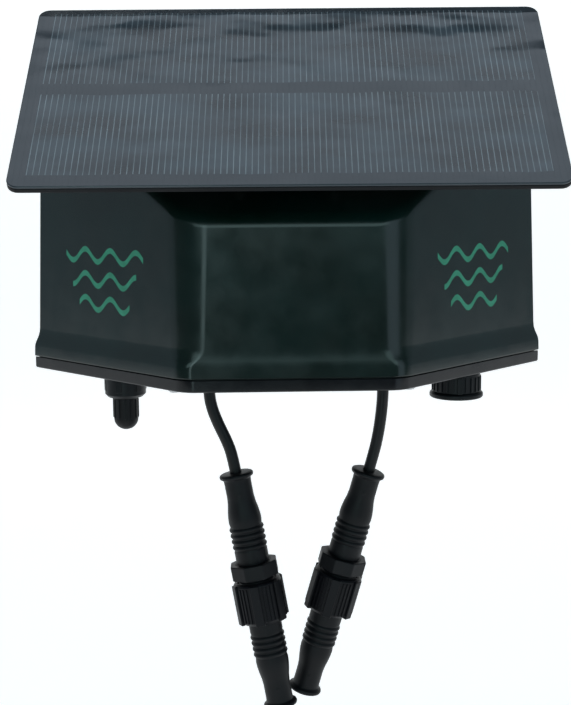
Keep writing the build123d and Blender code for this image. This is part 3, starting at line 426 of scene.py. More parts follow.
SLOT_FINISHES: dict[str, Finish] = {
    "green_cover": GREEN_ABS,
    "black_moulding": BLACK_ABS,
    "knob_black": BLACK_ABS,
    "cap_black": SOFT_PVC,
    "lead_black": LEAD_PVC,
    "plug_black": SOFT_PVC,
    "nut_black": BLACK_NYLON,
    "seal_rubber": RUBBER,
    "steel": ZINC_STEEL,
    "brass_contact": BRASS,
    "nickel_contact": NICKEL,
    "solar_glass": SOLAR_FILM,
    "silicon": SILICON,
    "pump_nylon": NATURAL_NYLON,
    "silicone_tube": SILICONE,
    "motor_can": ZINC_STEEL,
    "cell_wrap": SLEEVE,
    "board_green": SOLDER_MASK,
    "chip_black": EPOXY,
}


# ---- mesh helpers


def spun(profile: Profile, steps: int = 72) -> Mesh:
    """Spins an outline about Z.

    Args:
        profile: (radius, height) points in millimetres; the outline closes on the axis or on itself.
        steps: how many sectors.

    Returns:
        The closed mesh, in millimetres.
    """
    bm = bmesh.new()
    verts = [bm.verts.new((radius, 0.0, height)) for radius, height in profile]
    edges = [bm.edges.new(pair) for pair in zip(verts, verts[1:])]
    if profile[0][0] > 0 and profile[-1][0] > 0:
        edges.append(bm.edges.new((verts[-1], verts[0])))
    bmesh.ops.spin(
        bm, geom=verts + edges, cent=(0, 0, 0), axis=(0, 0, 1), angle=math.tau, steps=steps, use_merge=True
    )
    bmesh.ops.remove_doubles(bm, verts=bm.verts[:], dist=1e-4)
    bmesh.ops.recalc_face_normals(bm, faces=bm.faces[:])
    return bm


def bevel(bm: Mesh, geom: Sequence[object], width: float, segments: int, affect: str = "EDGES") -> None:
    """Rounds edges, or the corners of a flat face.

    Args:
        bm: their mesh.
        geom: the edges, or the corner vertices.
        width: how far along each side the rounding starts.
        segments: its strips.
        affect: "EDGES" or "VERTICES".
    """
    bmesh.ops.bevel(
        bm, geom=geom, offset=width, offset_type="OFFSET", segments=segments, profile=0.5, affect=affect,
        clamp_overlap=True, material=-1,
    )


def soften(bm: Mesh, width: float, angle: float = 28.0, segments: int = 2) -> None:
    """Rounds every edge that turns by more than an angle.

    Args:
        bm: the mesh, in millimetres.
        width: the rounding's width along each face.
        angle: degrees.
        segments: how many strips the rounding has.
    """
    sharp = [e for e in bm.edges if len(e.link_faces) == 2 and e.calc_face_angle() > math.radians(angle)]
    bevel(bm, sharp, width, segments)


def rounded_plan(
    bm: Mesh, corners: Sequence[Point], rounded: Sequence[int], offset: float, segments: int = 8
) -> bmesh.types.BMFace:
    """A flat outline with some corners rounded.

    Args:
        bm: the mesh that it joins.
        corners: the outline's corners, in order.
        rounded: which corners are rounded.
        offset: how far along each side the rounding starts.
        segments: strips in each rounding.

    Returns:
        The outline's face.
    """
    before = set(bm.faces)
    verts = [bm.verts.new(c) for c in corners]
    bm.faces.new(verts)
    bevel(bm, [verts[i] for i in rounded], offset, segments, "VERTICES")
    return (set(bm.faces) - before).pop()


def join_into(bm: Mesh, other: Mesh, place: Matrix | None = None) -> None:
    """Adds another mesh to a mesh, moved by place, and frees it.

    Args:
        bm: the mesh that grows.
        other: the mesh that is added.
        place: where it goes, in millimetres.
    """
    if place is not None:
        bmesh.ops.transform(other, matrix=place, verts=other.verts[:])
    scratch = bpy.data.meshes.new("scratch")
    other.to_mesh(scratch)
    other.free()
    bm.from_mesh(scratch)
    bpy.data.meshes.remove(scratch)


def soft_block(size: Point, edge: float, segments: int = 2) -> Mesh:
    """A box about the origin with rounded edges.

    Args:
        size: its three sides in millimetres.
        edge: the rounding's width.
        segments: strips in each rounding.

    Returns:
        The mesh, in millimetres.
    """
    bm = bmesh.new()
    bmesh.ops.create_cube(bm, size=1.0)
    bmesh.ops.scale(bm, vec=size, verts=bm.verts[:])
    soften(bm, edge, segments=segments)
    return bm


def lift(bm: Mesh, faces: Sequence[bmesh.types.BMFace], height: float, keep: bool = False) -> None:
    """Extrudes flat faces upwards.

    Args:
        bm: their mesh.
        faces: the faces.
        height: how far up.
        keep: whether the faces stay below as well.
    """
    grown = bmesh.ops.extrude_face_region(bm, geom=faces, use_keep_orig=keep)
    top = [g for g in grown["geom"] if isinstance(g, Vert)]
    bmesh.ops.translate(bm, vec=(0, 0, height), verts=top)
    bmesh.ops.recalc_face_normals(bm, faces=bm.faces[:])


def about_z(angle: float) -> Matrix:
    """A turn about Z, by radians."""
    return Matrix.Rotation(angle, 4, "Z")


def add_object(name: str, data: bpy.types.ID) -> Object:
    """A new object in the scene.

    Args:
        name: its name.
        data: its mesh, curve, light or camera.

    Returns:
        The object.
    """
    made = bpy.data.objects.new(name, data)
    bpy.context.scene.collection.objects.link(made)
    return made


@dataclass
class Piece:
    """One visible piece: its mesh in millimetres, its finish, and the body that it rides on."""

    name: str
    body: Body
    finish: Finish
    slot: str
    stands_for: tuple[str, ...] = ()
    smooth_angle: float = 32.0

    def make(self, bm: Mesh, place: Matrix | None = None, wall: float = 0.0) -> Object:
        """Turns the mesh into the finished object.

        Args:
            bm: the mesh, in millimetres; it is freed.
            place: the piece's frame, in millimetres.
            wall: a wall's thickness to grow inwards, or 0 for a solid piece.

        Returns:
            The object, riding on its body.
        """
        whole = Matrix.Diagonal((MM, MM, MM, 1.0)) @ (place or Matrix.Identity(4))
        bmesh.ops.transform(bm, matrix=whole, verts=bm.verts[:])
        mesh = bpy.data.meshes.new(self.name)
        bm.to_mesh(mesh)
        bm.free()
        mesh.shade_smooth()
        mesh.set_sharp_from_angle(angle=math.radians(self.smooth_angle))
        mesh.materials.append(self.finish.material())
        made = add_object(self.name, mesh)
        if wall:
            shell = made.modifiers.new("wall", "SOLIDIFY")
            shell.thickness = wall * MM
            shell.offset = -1.0
            shell.use_even_offset = True
        normals = made.modifiers.new("normals", "WEIGHTED_NORMAL")
        normals.keep_sharp = True
        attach(made, self.body.value)
        if self.stands_for:
            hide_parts(*self.stands_for)
        LOG.info("%s: %d faces on %s", self.name, len(mesh.polygons), self.body.value)
        return made


# ---- the case


@dataclass(frozen=True)
class Level:
    """One outline of the case: height, how far its faces stand out, corner rounding, back inset."""

    height: float
    side: float
    front: float
    radius: float
    rear: float = 0.0


@dataclass
class Case:
    """The half-hexagon case: drafted cover with a flared foot, tray, turret and the marks on its sides."""

    rear_half: float = 103.0
    front_half: float = 40.5
    depth: float = 61.0
    rear_y: float = -14.0
    base_z: float = -60.0
    tray_height: float = 4.7
    gasket: float = 0.3
    wall: float = 2.2
    draft: float = 1.5
    front_height: float = 65.0
    roof_angle: float = 38.0
    roof_edge: float = 3.6
    foot_radius: float = 10.0
    wall_radius: float = 19.0
    top_radius: float = 27.0
    skirt: float = 1.4
    tray_grow: float = 1.2
    pivot_y: float = -48.0
    turret_radius: float = 11.0
    turret_bore: float = 5.1
    turret_top: float = 34.0

    @property
    def run(self) -> float:
        """How far a slanting face goes sideways for each millimetre back."""
        return (self.rear_half - self.front_half) / self.depth

    @property
    def cover_bottom(self) -> float:
        """The height of the cover's lower edge."""
        return self.base_z + self.tray_height + self.gasket

    def corners(self, side: float, front: float, height: float, rear: float = 0.0) -> list[Point]:
        """The plan's corners: rear left, front left, front right, rear right.

        Args:
            side: how far the slanting faces stand out.
            front: how far the front face stands out.
            height: their height.
            rear: how far the back is set forwards.

        Returns:
            Four points in millimetres.
        """
        front_y = self.rear_y - self.depth - front
        slant = side * math.hypot(1.0, self.run)
        front_x = self.front_half - front * self.run + slant
        rear_x = self.rear_half + slant - rear * self.run
        return [
            (-rear_x, self.rear_y - rear, height),
            (-front_x, front_y, height),
            (front_x, front_y, height),
            (rear_x, self.rear_y - rear, height),
        ]

    def outline(self, bm: Mesh, level: Level) -> bmesh.types.BMFace:
        """One level's outline with its two front corners rounded.

        Args:
            bm: the mesh that it joins.
            level: its height and reach.

        Returns:
            Its face.
        """
        offset = level.radius * math.tan(math.atan2(1.0, self.run) / 2)
        corners = self.corners(level.side, level.front, level.height, level.rear)
        return rounded_plan(bm, corners, (1, 2), offset)

    def stack(self, levels: Iterable[Level], close_bottom: bool) -> Mesh:
        """Outlines joined one to the next.

        Args:
            levels: from the bottom up, or along the skin.
            close_bottom: whether the first outline keeps its face.

        Returns:
            The mesh; its last outline keeps its face.
        """
        bm = bmesh.new()
        faces = [self.outline(bm, level) for level in levels]
        loops = [list(f.edges) for f in faces]
        for lower, upper in zip(loops, loops[1:]):
            bmesh.ops.bridge_loops(bm, edges=lower + upper)
        spare = faces[1:-1] + ([] if close_bottom else faces[:1])
        bmesh.ops.delete(bm, geom=spare, context="FACES_ONLY")
        return bm

    def cover_levels(self) -> list[Level]:
        """The cover's outlines: a soft concave flare at the foot, then drafted walls."""
        z = self.cover_bottom
        lean = math.tan(math.radians(self.draft))
        flare = [
            (0.0, 0.9), (0.2, 0.98), (0.6, 1.0), (4.0, 1.0), (5.4, 0.88), (6.8, 0.6), (8.2, 0.3), (9.8, 0.08),
            (11.5, 0.0),
        ]
        levels = []
        for height, share in flare:
            back = -height * lean
            radius = self.wall_radius + (self.foot_radius - self.wall_radius) * share
            levels.append(Level(z + height, self.skirt * share + back, 0.45 * share + back, radius))
        top = 130.0
        levels.append(Level(z + top, -top * lean, -top * lean, self.top_radius))
        return levels

    def roof(self) -> tuple[Vector, Vector]:
        """A point on the sloping roof, and its outward normal."""
        slope = math.radians(self.roof_angle)
        front = self.rear_y - self.depth + self.front_height * math.tan(math.radians(self.draft))
        point = Vector((0, front, self.base_z + self.front_height))
        return point, Vector((0, -math.sin(slope), math.cos(slope)))

    def build_cover(self) -> None:
        """The cover's wall, cut off by the roof, its roof edge rounded, grown inwards to its thickness."""
        bm = self.stack(self.cover_levels(), close_bottom=False)
        point, normal = self.roof()
        everything = bm.verts[:] + bm.edges[:] + bm.faces[:]
        cut = bmesh.ops.bisect_plane(bm, geom=everything, plane_co=point, plane_no=normal, clear_outer=True)
        rim = [g for g in cut["geom_cut"] if isinstance(g, bmesh.types.BMEdge)]
        bmesh.ops.edgeloop_fill(bm, edges=rim)
        bmesh.ops.recalc_face_normals(bm, faces=bm.faces[:])
        front = [
            e for e in bm.edges
            if all(abs((v.co - point).dot(normal)) < 1e-3 for v in e.verts)
            and min(v.co.y for v in e.verts) < self.rear_y - 0.01
        ]
        bevel(bm, front, self.roof_edge, 5)
        cover = Piece("case_cover", Body.HOUSING, GREEN_ABS, "green_cover", ("housing_cover",), 40.0)
        cover.make(bm, wall=self.wall)

    def build_turret(self) -> None:
        """The bearing on the roof that the panel's post turns in, with a softened collar at its foot."""
        point, normal = self.roof()
        reach = self.turret_radius
        roof_z = point.z + (self.pivot_y - point.y) * math.tan(math.radians(self.roof_angle))
        low = roof_z - reach * math.tan(math.radians(self.roof_angle)) - self.wall
        bm = spun([
            (self.turret_bore, low), (self.turret_bore, self.turret_top), (reach - 1.0, self.turret_top),
            (reach, self.turret_top - 1.0), (reach, low),
        ])
        soften(bm, 0.3)
        place = Matrix.Translation((0, self.pivot_y, 0))
        Piece("case_turret", Body.HOUSING, GREEN_ABS, "green_cover").make(bm, place)

    def build_tray(self) -> None:
        """The shallow tray under the cover, its lower edge rounded."""
        z, grow, lip = self.base_z, self.tray_grow, 3.2
        levels = [
            Level(z, grow - 0.7, grow - 0.7, self.foot_radius),
            Level(z + 0.2, grow - 0.25, grow - 0.25, self.foot_radius),
            Level(z + 0.7, grow, grow, self.foot_radius),
            Level(z + self.tray_height - 0.15, grow, grow, self.foot_radius),
            Level(z + self.tray_height, grow - 0.15, grow - 0.15, self.foot_radius),
            Level(z + self.tray_height, -lip, -lip, self.foot_radius - 3.0, lip),
            Level(z + 2.4, -lip, -lip, self.foot_radius - 3.0, lip),
        ]
        bm = self.stack(levels, close_bottom=True)
        bmesh.ops.recalc_face_normals(bm, faces=bm.faces[:])
        Piece("case_tray", Body.HOUSING, TRAY_ABS, "black_moulding", ("base_tray",), 40.0).make(bm)

    def side_frame(self, side: int, along: float, up: float) -> Matrix:
        """A frame lying on a slanting face.

        Args:
            side: -1 for the left face, 1 for the right.
            along: distance from the rear edge.
            up: height above the cover's lower edge.

        Returns:
            Origin on the face, X to the viewer's right, Y up the face, Z outwards, in millimetres.
        """
        lean = math.tan(math.radians(self.draft))

        def point(height: float, share: float) -> Vector:
            """A point on the face at a height, share of the way from the rear edge to the front."""
            corners = self.corners(-height * lean, -height * lean, self.cover_bottom + height)
            rear, front = (corners[3], corners[2]) if side > 0 else (corners[0], corners[1])
            return Vector(rear).lerp(Vector(front), share)

        share = along / (self.depth * math.hypot(1.0, self.run))
        origin = point(up, share)
        across = (point(up, 0.0) - point(up, 1.0)).normalized() * side
        outwards = across.cross((point(up + 10.0, share) - origin).normalized()).normalized()
        upwards = outwards.cross(across)
        matrix = Matrix((across, upwards, outwards)).transposed().to_4x4()
        return Matrix.Translation(origin) @ matrix

    def build_marks(self) -> None:
        """Three plain wavy water lines printed on each slanting face."""
        length, width, ink = 46.0, 2.2, 0.06
        for side, name in ((-1, "left"), (1, "right")):
            bm = bmesh.new()
            for row, inset in enumerate((0.0, 4.0, 8.0)):
                strip = bmesh.new()
                bmesh.ops.create_grid(strip, x_segments=64, y_segments=1, size=0.5)
                bmesh.ops.scale(strip, vec=(length - 2 * inset, width, 1.0), verts=strip.verts[:])
                for vert in strip.verts:
                    vert.co.y += 2.4 * math.sin(vert.co.x * math.tau / 15.0)
                lift(strip, strip.faces[:], ink)
                join_into(bm, strip, Matrix.Translation((0, 9.5 - 9.5 * row, -ink / 3)))
            Piece(f"{name}_wave_mark", Body.HOUSING, GREEN_INK, "green_cover").make(
                bm, self.side_frame(side, 41.0, 34.0)
            )

    def build(self) -> None:
        """Every piece of the case."""
        self.build_cover()
        self.build_turret()
        self.build_tray()
        self.build_marks()


# ---- the panel


@dataclass
class SolarPanel:
    """The tilted panel: stiff black back sheet and the glossy film over its cells."""

    width: float = 200.0
    length: float = 109.0
    below_pivot: float = 54.0
    tilt: float = 38.0
    turn: float = 1.8
    lift: float = 8.4
    tray_wall: float = 1.9
    film: float = 1.1
    corner: float = 4.5
    pivot: Point = (0.0, -48.0, 42.3)

    def place(self) -> Matrix:
        """The tilt pin's frame: X across, Y up the slope, Z out of the face."""
        turned = about_z(-math.radians(self.turn))
        tilted = Matrix.Rotation(math.radians(self.tilt), 4, "X")
        return Matrix.Translation(self.pivot) @ turned @ tilted

    def sheet(self, low: float, thickness: float, edge: float) -> Mesh:
        """A rounded sheet with softened rims and a UV map in metres.

        Args:
            low: its underside above the pin.
            thickness: its thickness.
            edge: the rim's rounding.

        Returns:
            The mesh in the panel's frame, in millimetres.
        """
        half, near, far = self.width / 2, -self.below_pivot, self.length - self.below_pivot
        bm = bmesh.new()
        plan = [(-half, near, low), (half, near, low), (half, far, low), (-half, far, low)]
        face = rounded_plan(bm, plan, (0, 1, 2, 3), self.corner, 7)
        lift(bm, [face], thickness, keep=True)
        soften(bm, edge, angle=60.0, segments=3)
        layer = bm.loops.layers.uv.new("film")
        for face in bm.faces:
            for loop in face.loops:
                loop[layer].uv = (loop.vert.co.x * MM, (loop.vert.co.y - near) * MM)
        return bm

    def build(self) -> None:
        """The back sheet and the film."""
        Piece("panel_back_sheet", Body.PANEL, BACK_SHEET, "black_moulding", ("panel_tray",)).make(
            self.sheet(self.lift, self.tray_wall, 0.35), self.place()
        )
        Piece("panel_film", Body.PANEL, SOLAR_FILM, "solar_glass", ("solar_laminate",)).make(
            self.sheet(self.lift + self.tray_wall, self.film, 0.4), self.place()
        )


# ---- under the case


@dataclass
class ControlKnob:
    """The dial under the right of the case: fine vertical ribs, a pointer bar and a lip at the bottom."""

    place: Point = (67.5, -34.0, -60.0)
    radius: float = 9.6
    lip_radius: float = 10.8
    lip: float = 2.2
    height: float = 10.2
    gap: float = 0.3
    ribs: int = 24

    def build(self) -> None:
        """The knob, one piece."""
        top = -self.gap
        low = top - self.height
        bm = spun([
            (0, low + 0.8), (self.lip_radius - 2.6, low + 0.8), (self.lip_radius - 2.0, low),
            (self.lip_radius - 0.5, low), (self.lip_radius, low + 0.5),
            (self.lip_radius, low + self.lip - 0.5),
            (self.lip_radius - 0.4, low + self.lip), (self.radius, low + self.lip + 0.3),
            (self.radius, top - 0.4), (self.radius - 0.4, top), (0, top),
        ], 96)
        soften(bm, 0.15)
        grip = self.height - self.lip - 1.2
        middle = low + self.lip + grip / 2 + 0.2
        for rib in range(self.ribs):
            wide = rib == 0
            size = (1.5, 2.0, grip) if wide else (0.9, 0.75, grip - 0.8)
            turned = about_z(-math.pi / 2 + rib * math.tau / self.ribs)
            reach = self.radius - 0.05 if wide else self.radius
            join_into(bm, soft_block(size, 0.25), turned @ Matrix.Translation((reach, 0, middle)))
        Piece("control_dial", Body.KNOB, BLACK_ABS, "knob_black", ("control_knob",)).make(
            bm, Matrix.Translation(self.place)
        )


@dataclass
class Outlet:
    """The water outlet under the left of the case: a chamfered collar and the ribbed cap pushed on it."""

    place: Point = (-66.2, -34.0, -60.0)
    collar_radius: float = 8.2
    collar_height: float = 8.6
    cap_radius: float = 4.9
    cap_length: float = 13.5
    bore: float = 3.8
    gap: float = 0.15

    def build_collar(self) -> None:
        """The collar's outside, a ring round the fitting that stays inside it."""
        low = -self.collar_height
        bm = spun([
            (3.0, -0.02), (self.collar_radius, -0.02), (self.collar_radius, low + 1.9),
            (self.collar_radius - 0.7, low + 0.5), (self.collar_radius - 1.6, low - 0.02), (3.0, low - 0.02),
        ], 72)
        soften(bm, 0.35, 20.0, 3)
        for groove in range(6):
            turned = about_z(groove * math.tau / 6 + math.radians(15))
            reach = Matrix.Translation((self.collar_radius - 0.15, 0, low / 2 + 0.6))
            join_into(bm, soft_block((0.6, 2.6, self.collar_height - 4.0), 0.2), turned @ reach)
        place = Matrix.Translation(self.place)
        Piece("outlet_collar", Body.HOUSING, BLACK_ABS, "black_moulding").make(bm, place)

    def build_cap(self) -> None:
        """The soft cap: twelve fine ribs and a domed tip, hollow above."""
        dome, radius = 4.6, self.cap_radius
        straight = self.cap_length - dome
        rounding = [
            (radius * math.cos(a), -straight - dome * math.sin(a))
            for a in (math.radians(step * 15.0) for step in range(6))
        ]
        outline = [(self.bore, -8.3), (self.bore, 0.0), (radius - 0.3, 0.0), (radius, -0.3)] + rounding
        outline += [(0.0, -straight - dome)]
        inner = [(0.0, -8.3)]
        bm = spun(inner + outline, 72)
        for rib in range(12):
            turned = about_z(rib * math.tau / 12)
            ridge = soft_block((0.7, 0.8, straight - 1.2), 0.2)
            join_into(bm, ridge, turned @ Matrix.Translation((radius - 0.02, 0, -straight / 2 - 0.2)))
        where = Vector(self.place) + Vector((0, 0, -self.collar_height - self.gap))
        Piece("outlet_cap_cover", Body.OUTLET_CAP, SOFT_PVC, "cap_black", ("outlet_cap",)).make(
            bm, Matrix.Translation(where)
        )

    def build(self) -> None:
        """Collar and cap."""
        self.build_collar()
        self.build_cap()


# ---- leads and connectors


@dataclass
class Lead:
    """A black two-core lead that hangs out of the tray to its connector."""

    name: str
    route: tuple[Point, ...]
    length: float
    radius: float = 2.25
    in_boot: float = 5.6
    case_back: float = -14.0
    case_base: float = -60.0

    def points(self) -> list[Vector]:
        """The route's points in the object's frame, in millimetres."""
        return [Vector((x, self.case_back + y, self.case_base + z)) for x, y, z in self.route]

    def frame(self) -> Matrix:
        """The connector's frame: origin where the lead enters it, Z along it, away from the case."""
        points = self.points()
        along = (points[-1] - points[-2]).normalized()
        forward = Vector((0, -1, 0))
        across = (forward - along * forward.dot(along)).normalized()
        matrix = Matrix((across, along.cross(across), along)).transposed().to_4x4()
        return Matrix.Translation(points[-1] - along * self.in_boot) @ matrix

    def build(self, side: str, pieces: Sequence[Object]) -> Object:
        """The lead as a smooth curve.

        Args:
            side: "left" or "right".
            pieces: what hangs on it; not used.

        Returns:
            The curve's object.
        """
        curve = bpy.data.curves.new(self.name, "CURVE")
        curve.dimensions = "3D"
        spline = curve.splines.new("NURBS")
        points = self.points()
        spline.points.add(len(points) - 1)
        for target, point in zip(spline.points, points):
            target.co = (point.x * MM, point.y * MM, point.z * MM, 1.0)
        spline.order_u = 3
        spline.use_endpoint_u = True
        spline.resolution_u = 16
        curve.bevel_depth = self.radius * MM
        curve.bevel_resolution = 8
        curve.use_fill_caps = True
        curve.materials.append(LEAD_PVC.material())
        made = add_object(self.name, curve)
        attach(made, Body.HOUSING.value)
        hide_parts(f"{side}_lead")
        LOG.info("%s: a curve through %d points", self.name, len(points))
        return made


@dataclass
class Connector:
    """A mated pair of screwed connector halves on one lead: two ribbed boots and the nut between them."""

    side: str
    place: Matrix
    plug_body: Body
    nut_body: Body
    length: float = 94.0
    flange: float = 6.6
    neck: float = 5.2
    barrel: float = 6.4
    rib: float = 6.7
    collar: float = 9.6
    collar_start: float = 35.4
    collar_height: float = 5.8
    thread: float = 7.3
    nut_start: float = 42.6
    nut_length: float = 16.5
    nut_radius: float = 9.3
    wing_reach: float = 0.75
    shoulder_end: float = 53.9
    lead_hole: float = 2.35
    near_end: float = 50.6
    nose_start: float = 41.4
    nose_radius: float = 4.8
    shoulder_start: float = 51.7
    shoulder_radius: float = 8.0
    boot_end: float = 30.7

    def boot_outline(self) -> list[tuple[float, float]]:
        """The boot from its flange inwards: flange, waist, swelling, four ribs."""
        outline = [
            (0.0, 0.0), (self.flange - 0.9, 0.0), (self.flange - 0.2, 0.35), (self.flange, 1.0),
            (self.flange - 0.2, 1.7), (self.flange - 0.9, 2.1), (self.neck + 0.1, 2.5), (self.neck, 4.0),
            (self.neck, 9.5), (self.neck + 0.25, 12.0), (self.neck + 0.75, 14.5),
            (self.barrel - 0.1, 17.0), (self.barrel, 19.0),
        ]
        for rib in range(4):
            low = 21.0 + rib * 2.3
            outline += [
                (self.barrel - 0.3, low), (self.barrel + 0.1, low + 0.4), (self.rib, low + 0.75),
                (self.rib, low + 1.15), (self.barrel + 0.1, low + 1.5), (self.barrel - 0.3, low + 1.9),
            ]
        outline.append((self.barrel, self.boot_end))
        return outline

    def dimple(self, bm: Mesh, height: float) -> None:
        """A small round dent in the neck, towards the viewer and behind.

        Args:
            bm: the boot's mesh.
            height: where along the connector.
        """
        for side in (-1, 1):
            spot = Vector((side * self.neck, 0, height))
            dent = bmesh.new()
            bmesh.ops.create_uvsphere(dent, u_segments=16, v_segments=8, radius=0.8)
            bmesh.ops.reverse_faces(dent, faces=dent.faces[:])
            bmesh.ops.scale(dent, vec=(0.12, 1.0, 1.0), verts=dent.verts[:])
            join_into(bm, dent, Matrix.Translation(spot + Vector((side * 0.02, 0, 0))))

    def finished(
        self, name: str, node: str, body: Body, bm: Mesh, finish: Finish = SOFT_PVC, slot: str = "plug_black"
    ) -> Object:
        """One of the connector's pieces in its place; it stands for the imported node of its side."""
        piece = Piece(f"{self.side}_{name}", body, finish, slot, (f"{self.side}_{node}",))
        return piece.make(bm, self.place)

    def build_near_half(self) -> Object:
        """The half on the case's lead: boot, eight-sided collar and the screw thread."""
        hole, deep = self.lead_hole, 5.7
        top = self.collar_start
        outline = [(0.0, deep), (hole, deep), (hole, 0.0)] + self.boot_outline()[1:]
        outline += [(self.barrel, top), (self.thread, top)]
        for row in range(5):
            low = top + self.collar_height + 0.6 + row * 2.0
            root = self.thread - 0.45
            outline += [(self.thread, low), (root, low + 0.5), (root, low + 0.8), (self.thread, low + 1.3)]
        outline += [(self.thread, self.near_end), (0.0, self.near_end)]
        bm = spun(outline, 72)
        soften(bm, 0.12, 35.0)
        ring = bmesh.new()
        bmesh.ops.create_cone(
            ring, cap_ends=True, segments=8, radius1=self.collar, radius2=self.collar,
            depth=self.collar_height,
        )
        soften(ring, 0.45, 30.0, 3)
        middle = Matrix.Translation((0, 0, self.collar_start + self.collar_height / 2))
        join_into(bm, ring, middle @ about_z(math.radians(22.5)))
        self.dimple(bm, 8.0)
        return self.finished("near_boot", "plug_upper", Body.HOUSING, bm)

    def build_far_half(self) -> Object:
        """The half that unplugs: nose, shoulder under the nut, and the same boot the other way round."""
        outline = [
            (0.0, self.nose_start), (self.nose_radius, self.nose_start),
            (self.nose_radius, self.shoulder_start),
            (self.shoulder_radius, self.shoulder_start), (self.shoulder_radius, self.shoulder_end),
            (self.barrel, self.shoulder_end + 0.05),
        ]
        boot = [(radius, self.length - height) for radius, height in reversed(self.boot_outline())]
        hole = self.lead_hole
        outline += boot[:-1] + [(hole, self.length), (hole, self.length - 11.0), (0.0, self.length - 11.0)]
        bm = spun(outline, 72)
        soften(bm, 0.12, 35.0)
        self.dimple(bm, self.length - 8.0)
        return self.finished("far_boot", "plug_lower", self.plug_body, bm)

    def build_nut(self) -> Object:
        """The coupling nut: a smooth barrel with broad wings and fine ribs between them."""
        low, high = self.nut_start, self.nut_start + self.nut_length
        hollow, floor, roof = self.shoulder_radius + 0.3, self.shoulder_start - 0.3, self.shoulder_end + 0.5
        bm = spun([
            (self.thread + 0.3, low), (self.nut_radius - 0.7, low), (self.nut_radius, low + 0.8),
            (self.nut_radius, high - 1.4), (self.nut_radius - 1.3, high), (6.8, high),
            (6.8, roof), (hollow, roof), (hollow, floor), (self.thread + 0.3, floor),
        ], 84)
        soften(bm, 0.25, 25.0, 3)
        middle = (low + high) / 2
        for wing in range(6):
            turned = about_z(wing * math.tau / 6 + math.radians(8))
            reach = Matrix.Translation((self.nut_radius - 0.8 + self.wing_reach, 0, middle))
            join_into(bm, soft_block((1.6, 3.6, self.nut_length - 0.8), 0.35, 3), turned @ reach)
            for fine in (-1, 0, 1):
                beside = about_z(math.radians(30 + fine * 9.5))
                ridge = soft_block((0.8, 0.7, self.nut_length - 2.8), 0.2)
                join_into(bm, ridge, turned @ beside @ Matrix.Translation((self.nut_radius, 0, middle)))
        return self.finished("screw_nut", "coupling_nut", self.nut_body, bm, BLACK_NYLON, "nut_black")

    def build(self) -> list[Object]:
        """Both halves and the nut.

        Returns:
            The three objects.
        """
        return [self.build_near_half(), self.build_far_half(), self.build_nut()]


# ---- carried-over parts


@dataclass
class FrameParts:
    """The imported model's own pieces: each gets its finish, and the ones in view get softened edges."""

    softened: dict[str, Body] = field(default_factory=lambda: {
        "wall_bracket": Body.HOUSING,
        "junction_box": Body.PANEL,
        "junction_lid": Body.PANEL,
        "panel_bracket": Body.PANEL,
        "tilt_nut": Body.PANEL,
        "inlet_fitting": Body.HOUSING,
    })
    edge: float = 0.3

    def slots(self) -> dict[str, str]:
        """Each node's material slot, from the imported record."""
        return {part["node"]: part["material_slot"] for part in frame["record"]["subparts"]}

    def dress(self) -> None:
        """Every node's own finish."""
        for node, slot in self.slots().items():
            made = frame["nodes"][node]
            made.data.materials.clear()
            made.data.materials.append(SLOT_FINISHES[slot].material())
        LOG.info("finishes on %d packed nodes", len(self.slots()))

    def soften_edges(self) -> None:
        """Copies of the outer mouldings with their faces merged and their edges rounded."""
        slots = self.slots()
        for node, body in self.softened.items():
            bm = bmesh.new()
            bm.from_mesh(frame["nodes"][node].data)
            bmesh.ops.scale(bm, vec=(1 / MM, 1 / MM, 1 / MM), verts=bm.verts[:])
            bmesh.ops.remove_doubles(bm, verts=bm.verts[:], dist=1e-3)
            bmesh.ops.dissolve_limit(
                bm, angle_limit=math.radians(1.0), verts=bm.verts[:], edges=bm.edges[:]
            )
            soften(bm, self.edge, 50.0)
            Piece(f"{node}_moulding", body, SLOT_FINISHES[slots[node]], slots[node], (node,)).make(bm)


# ---- studio


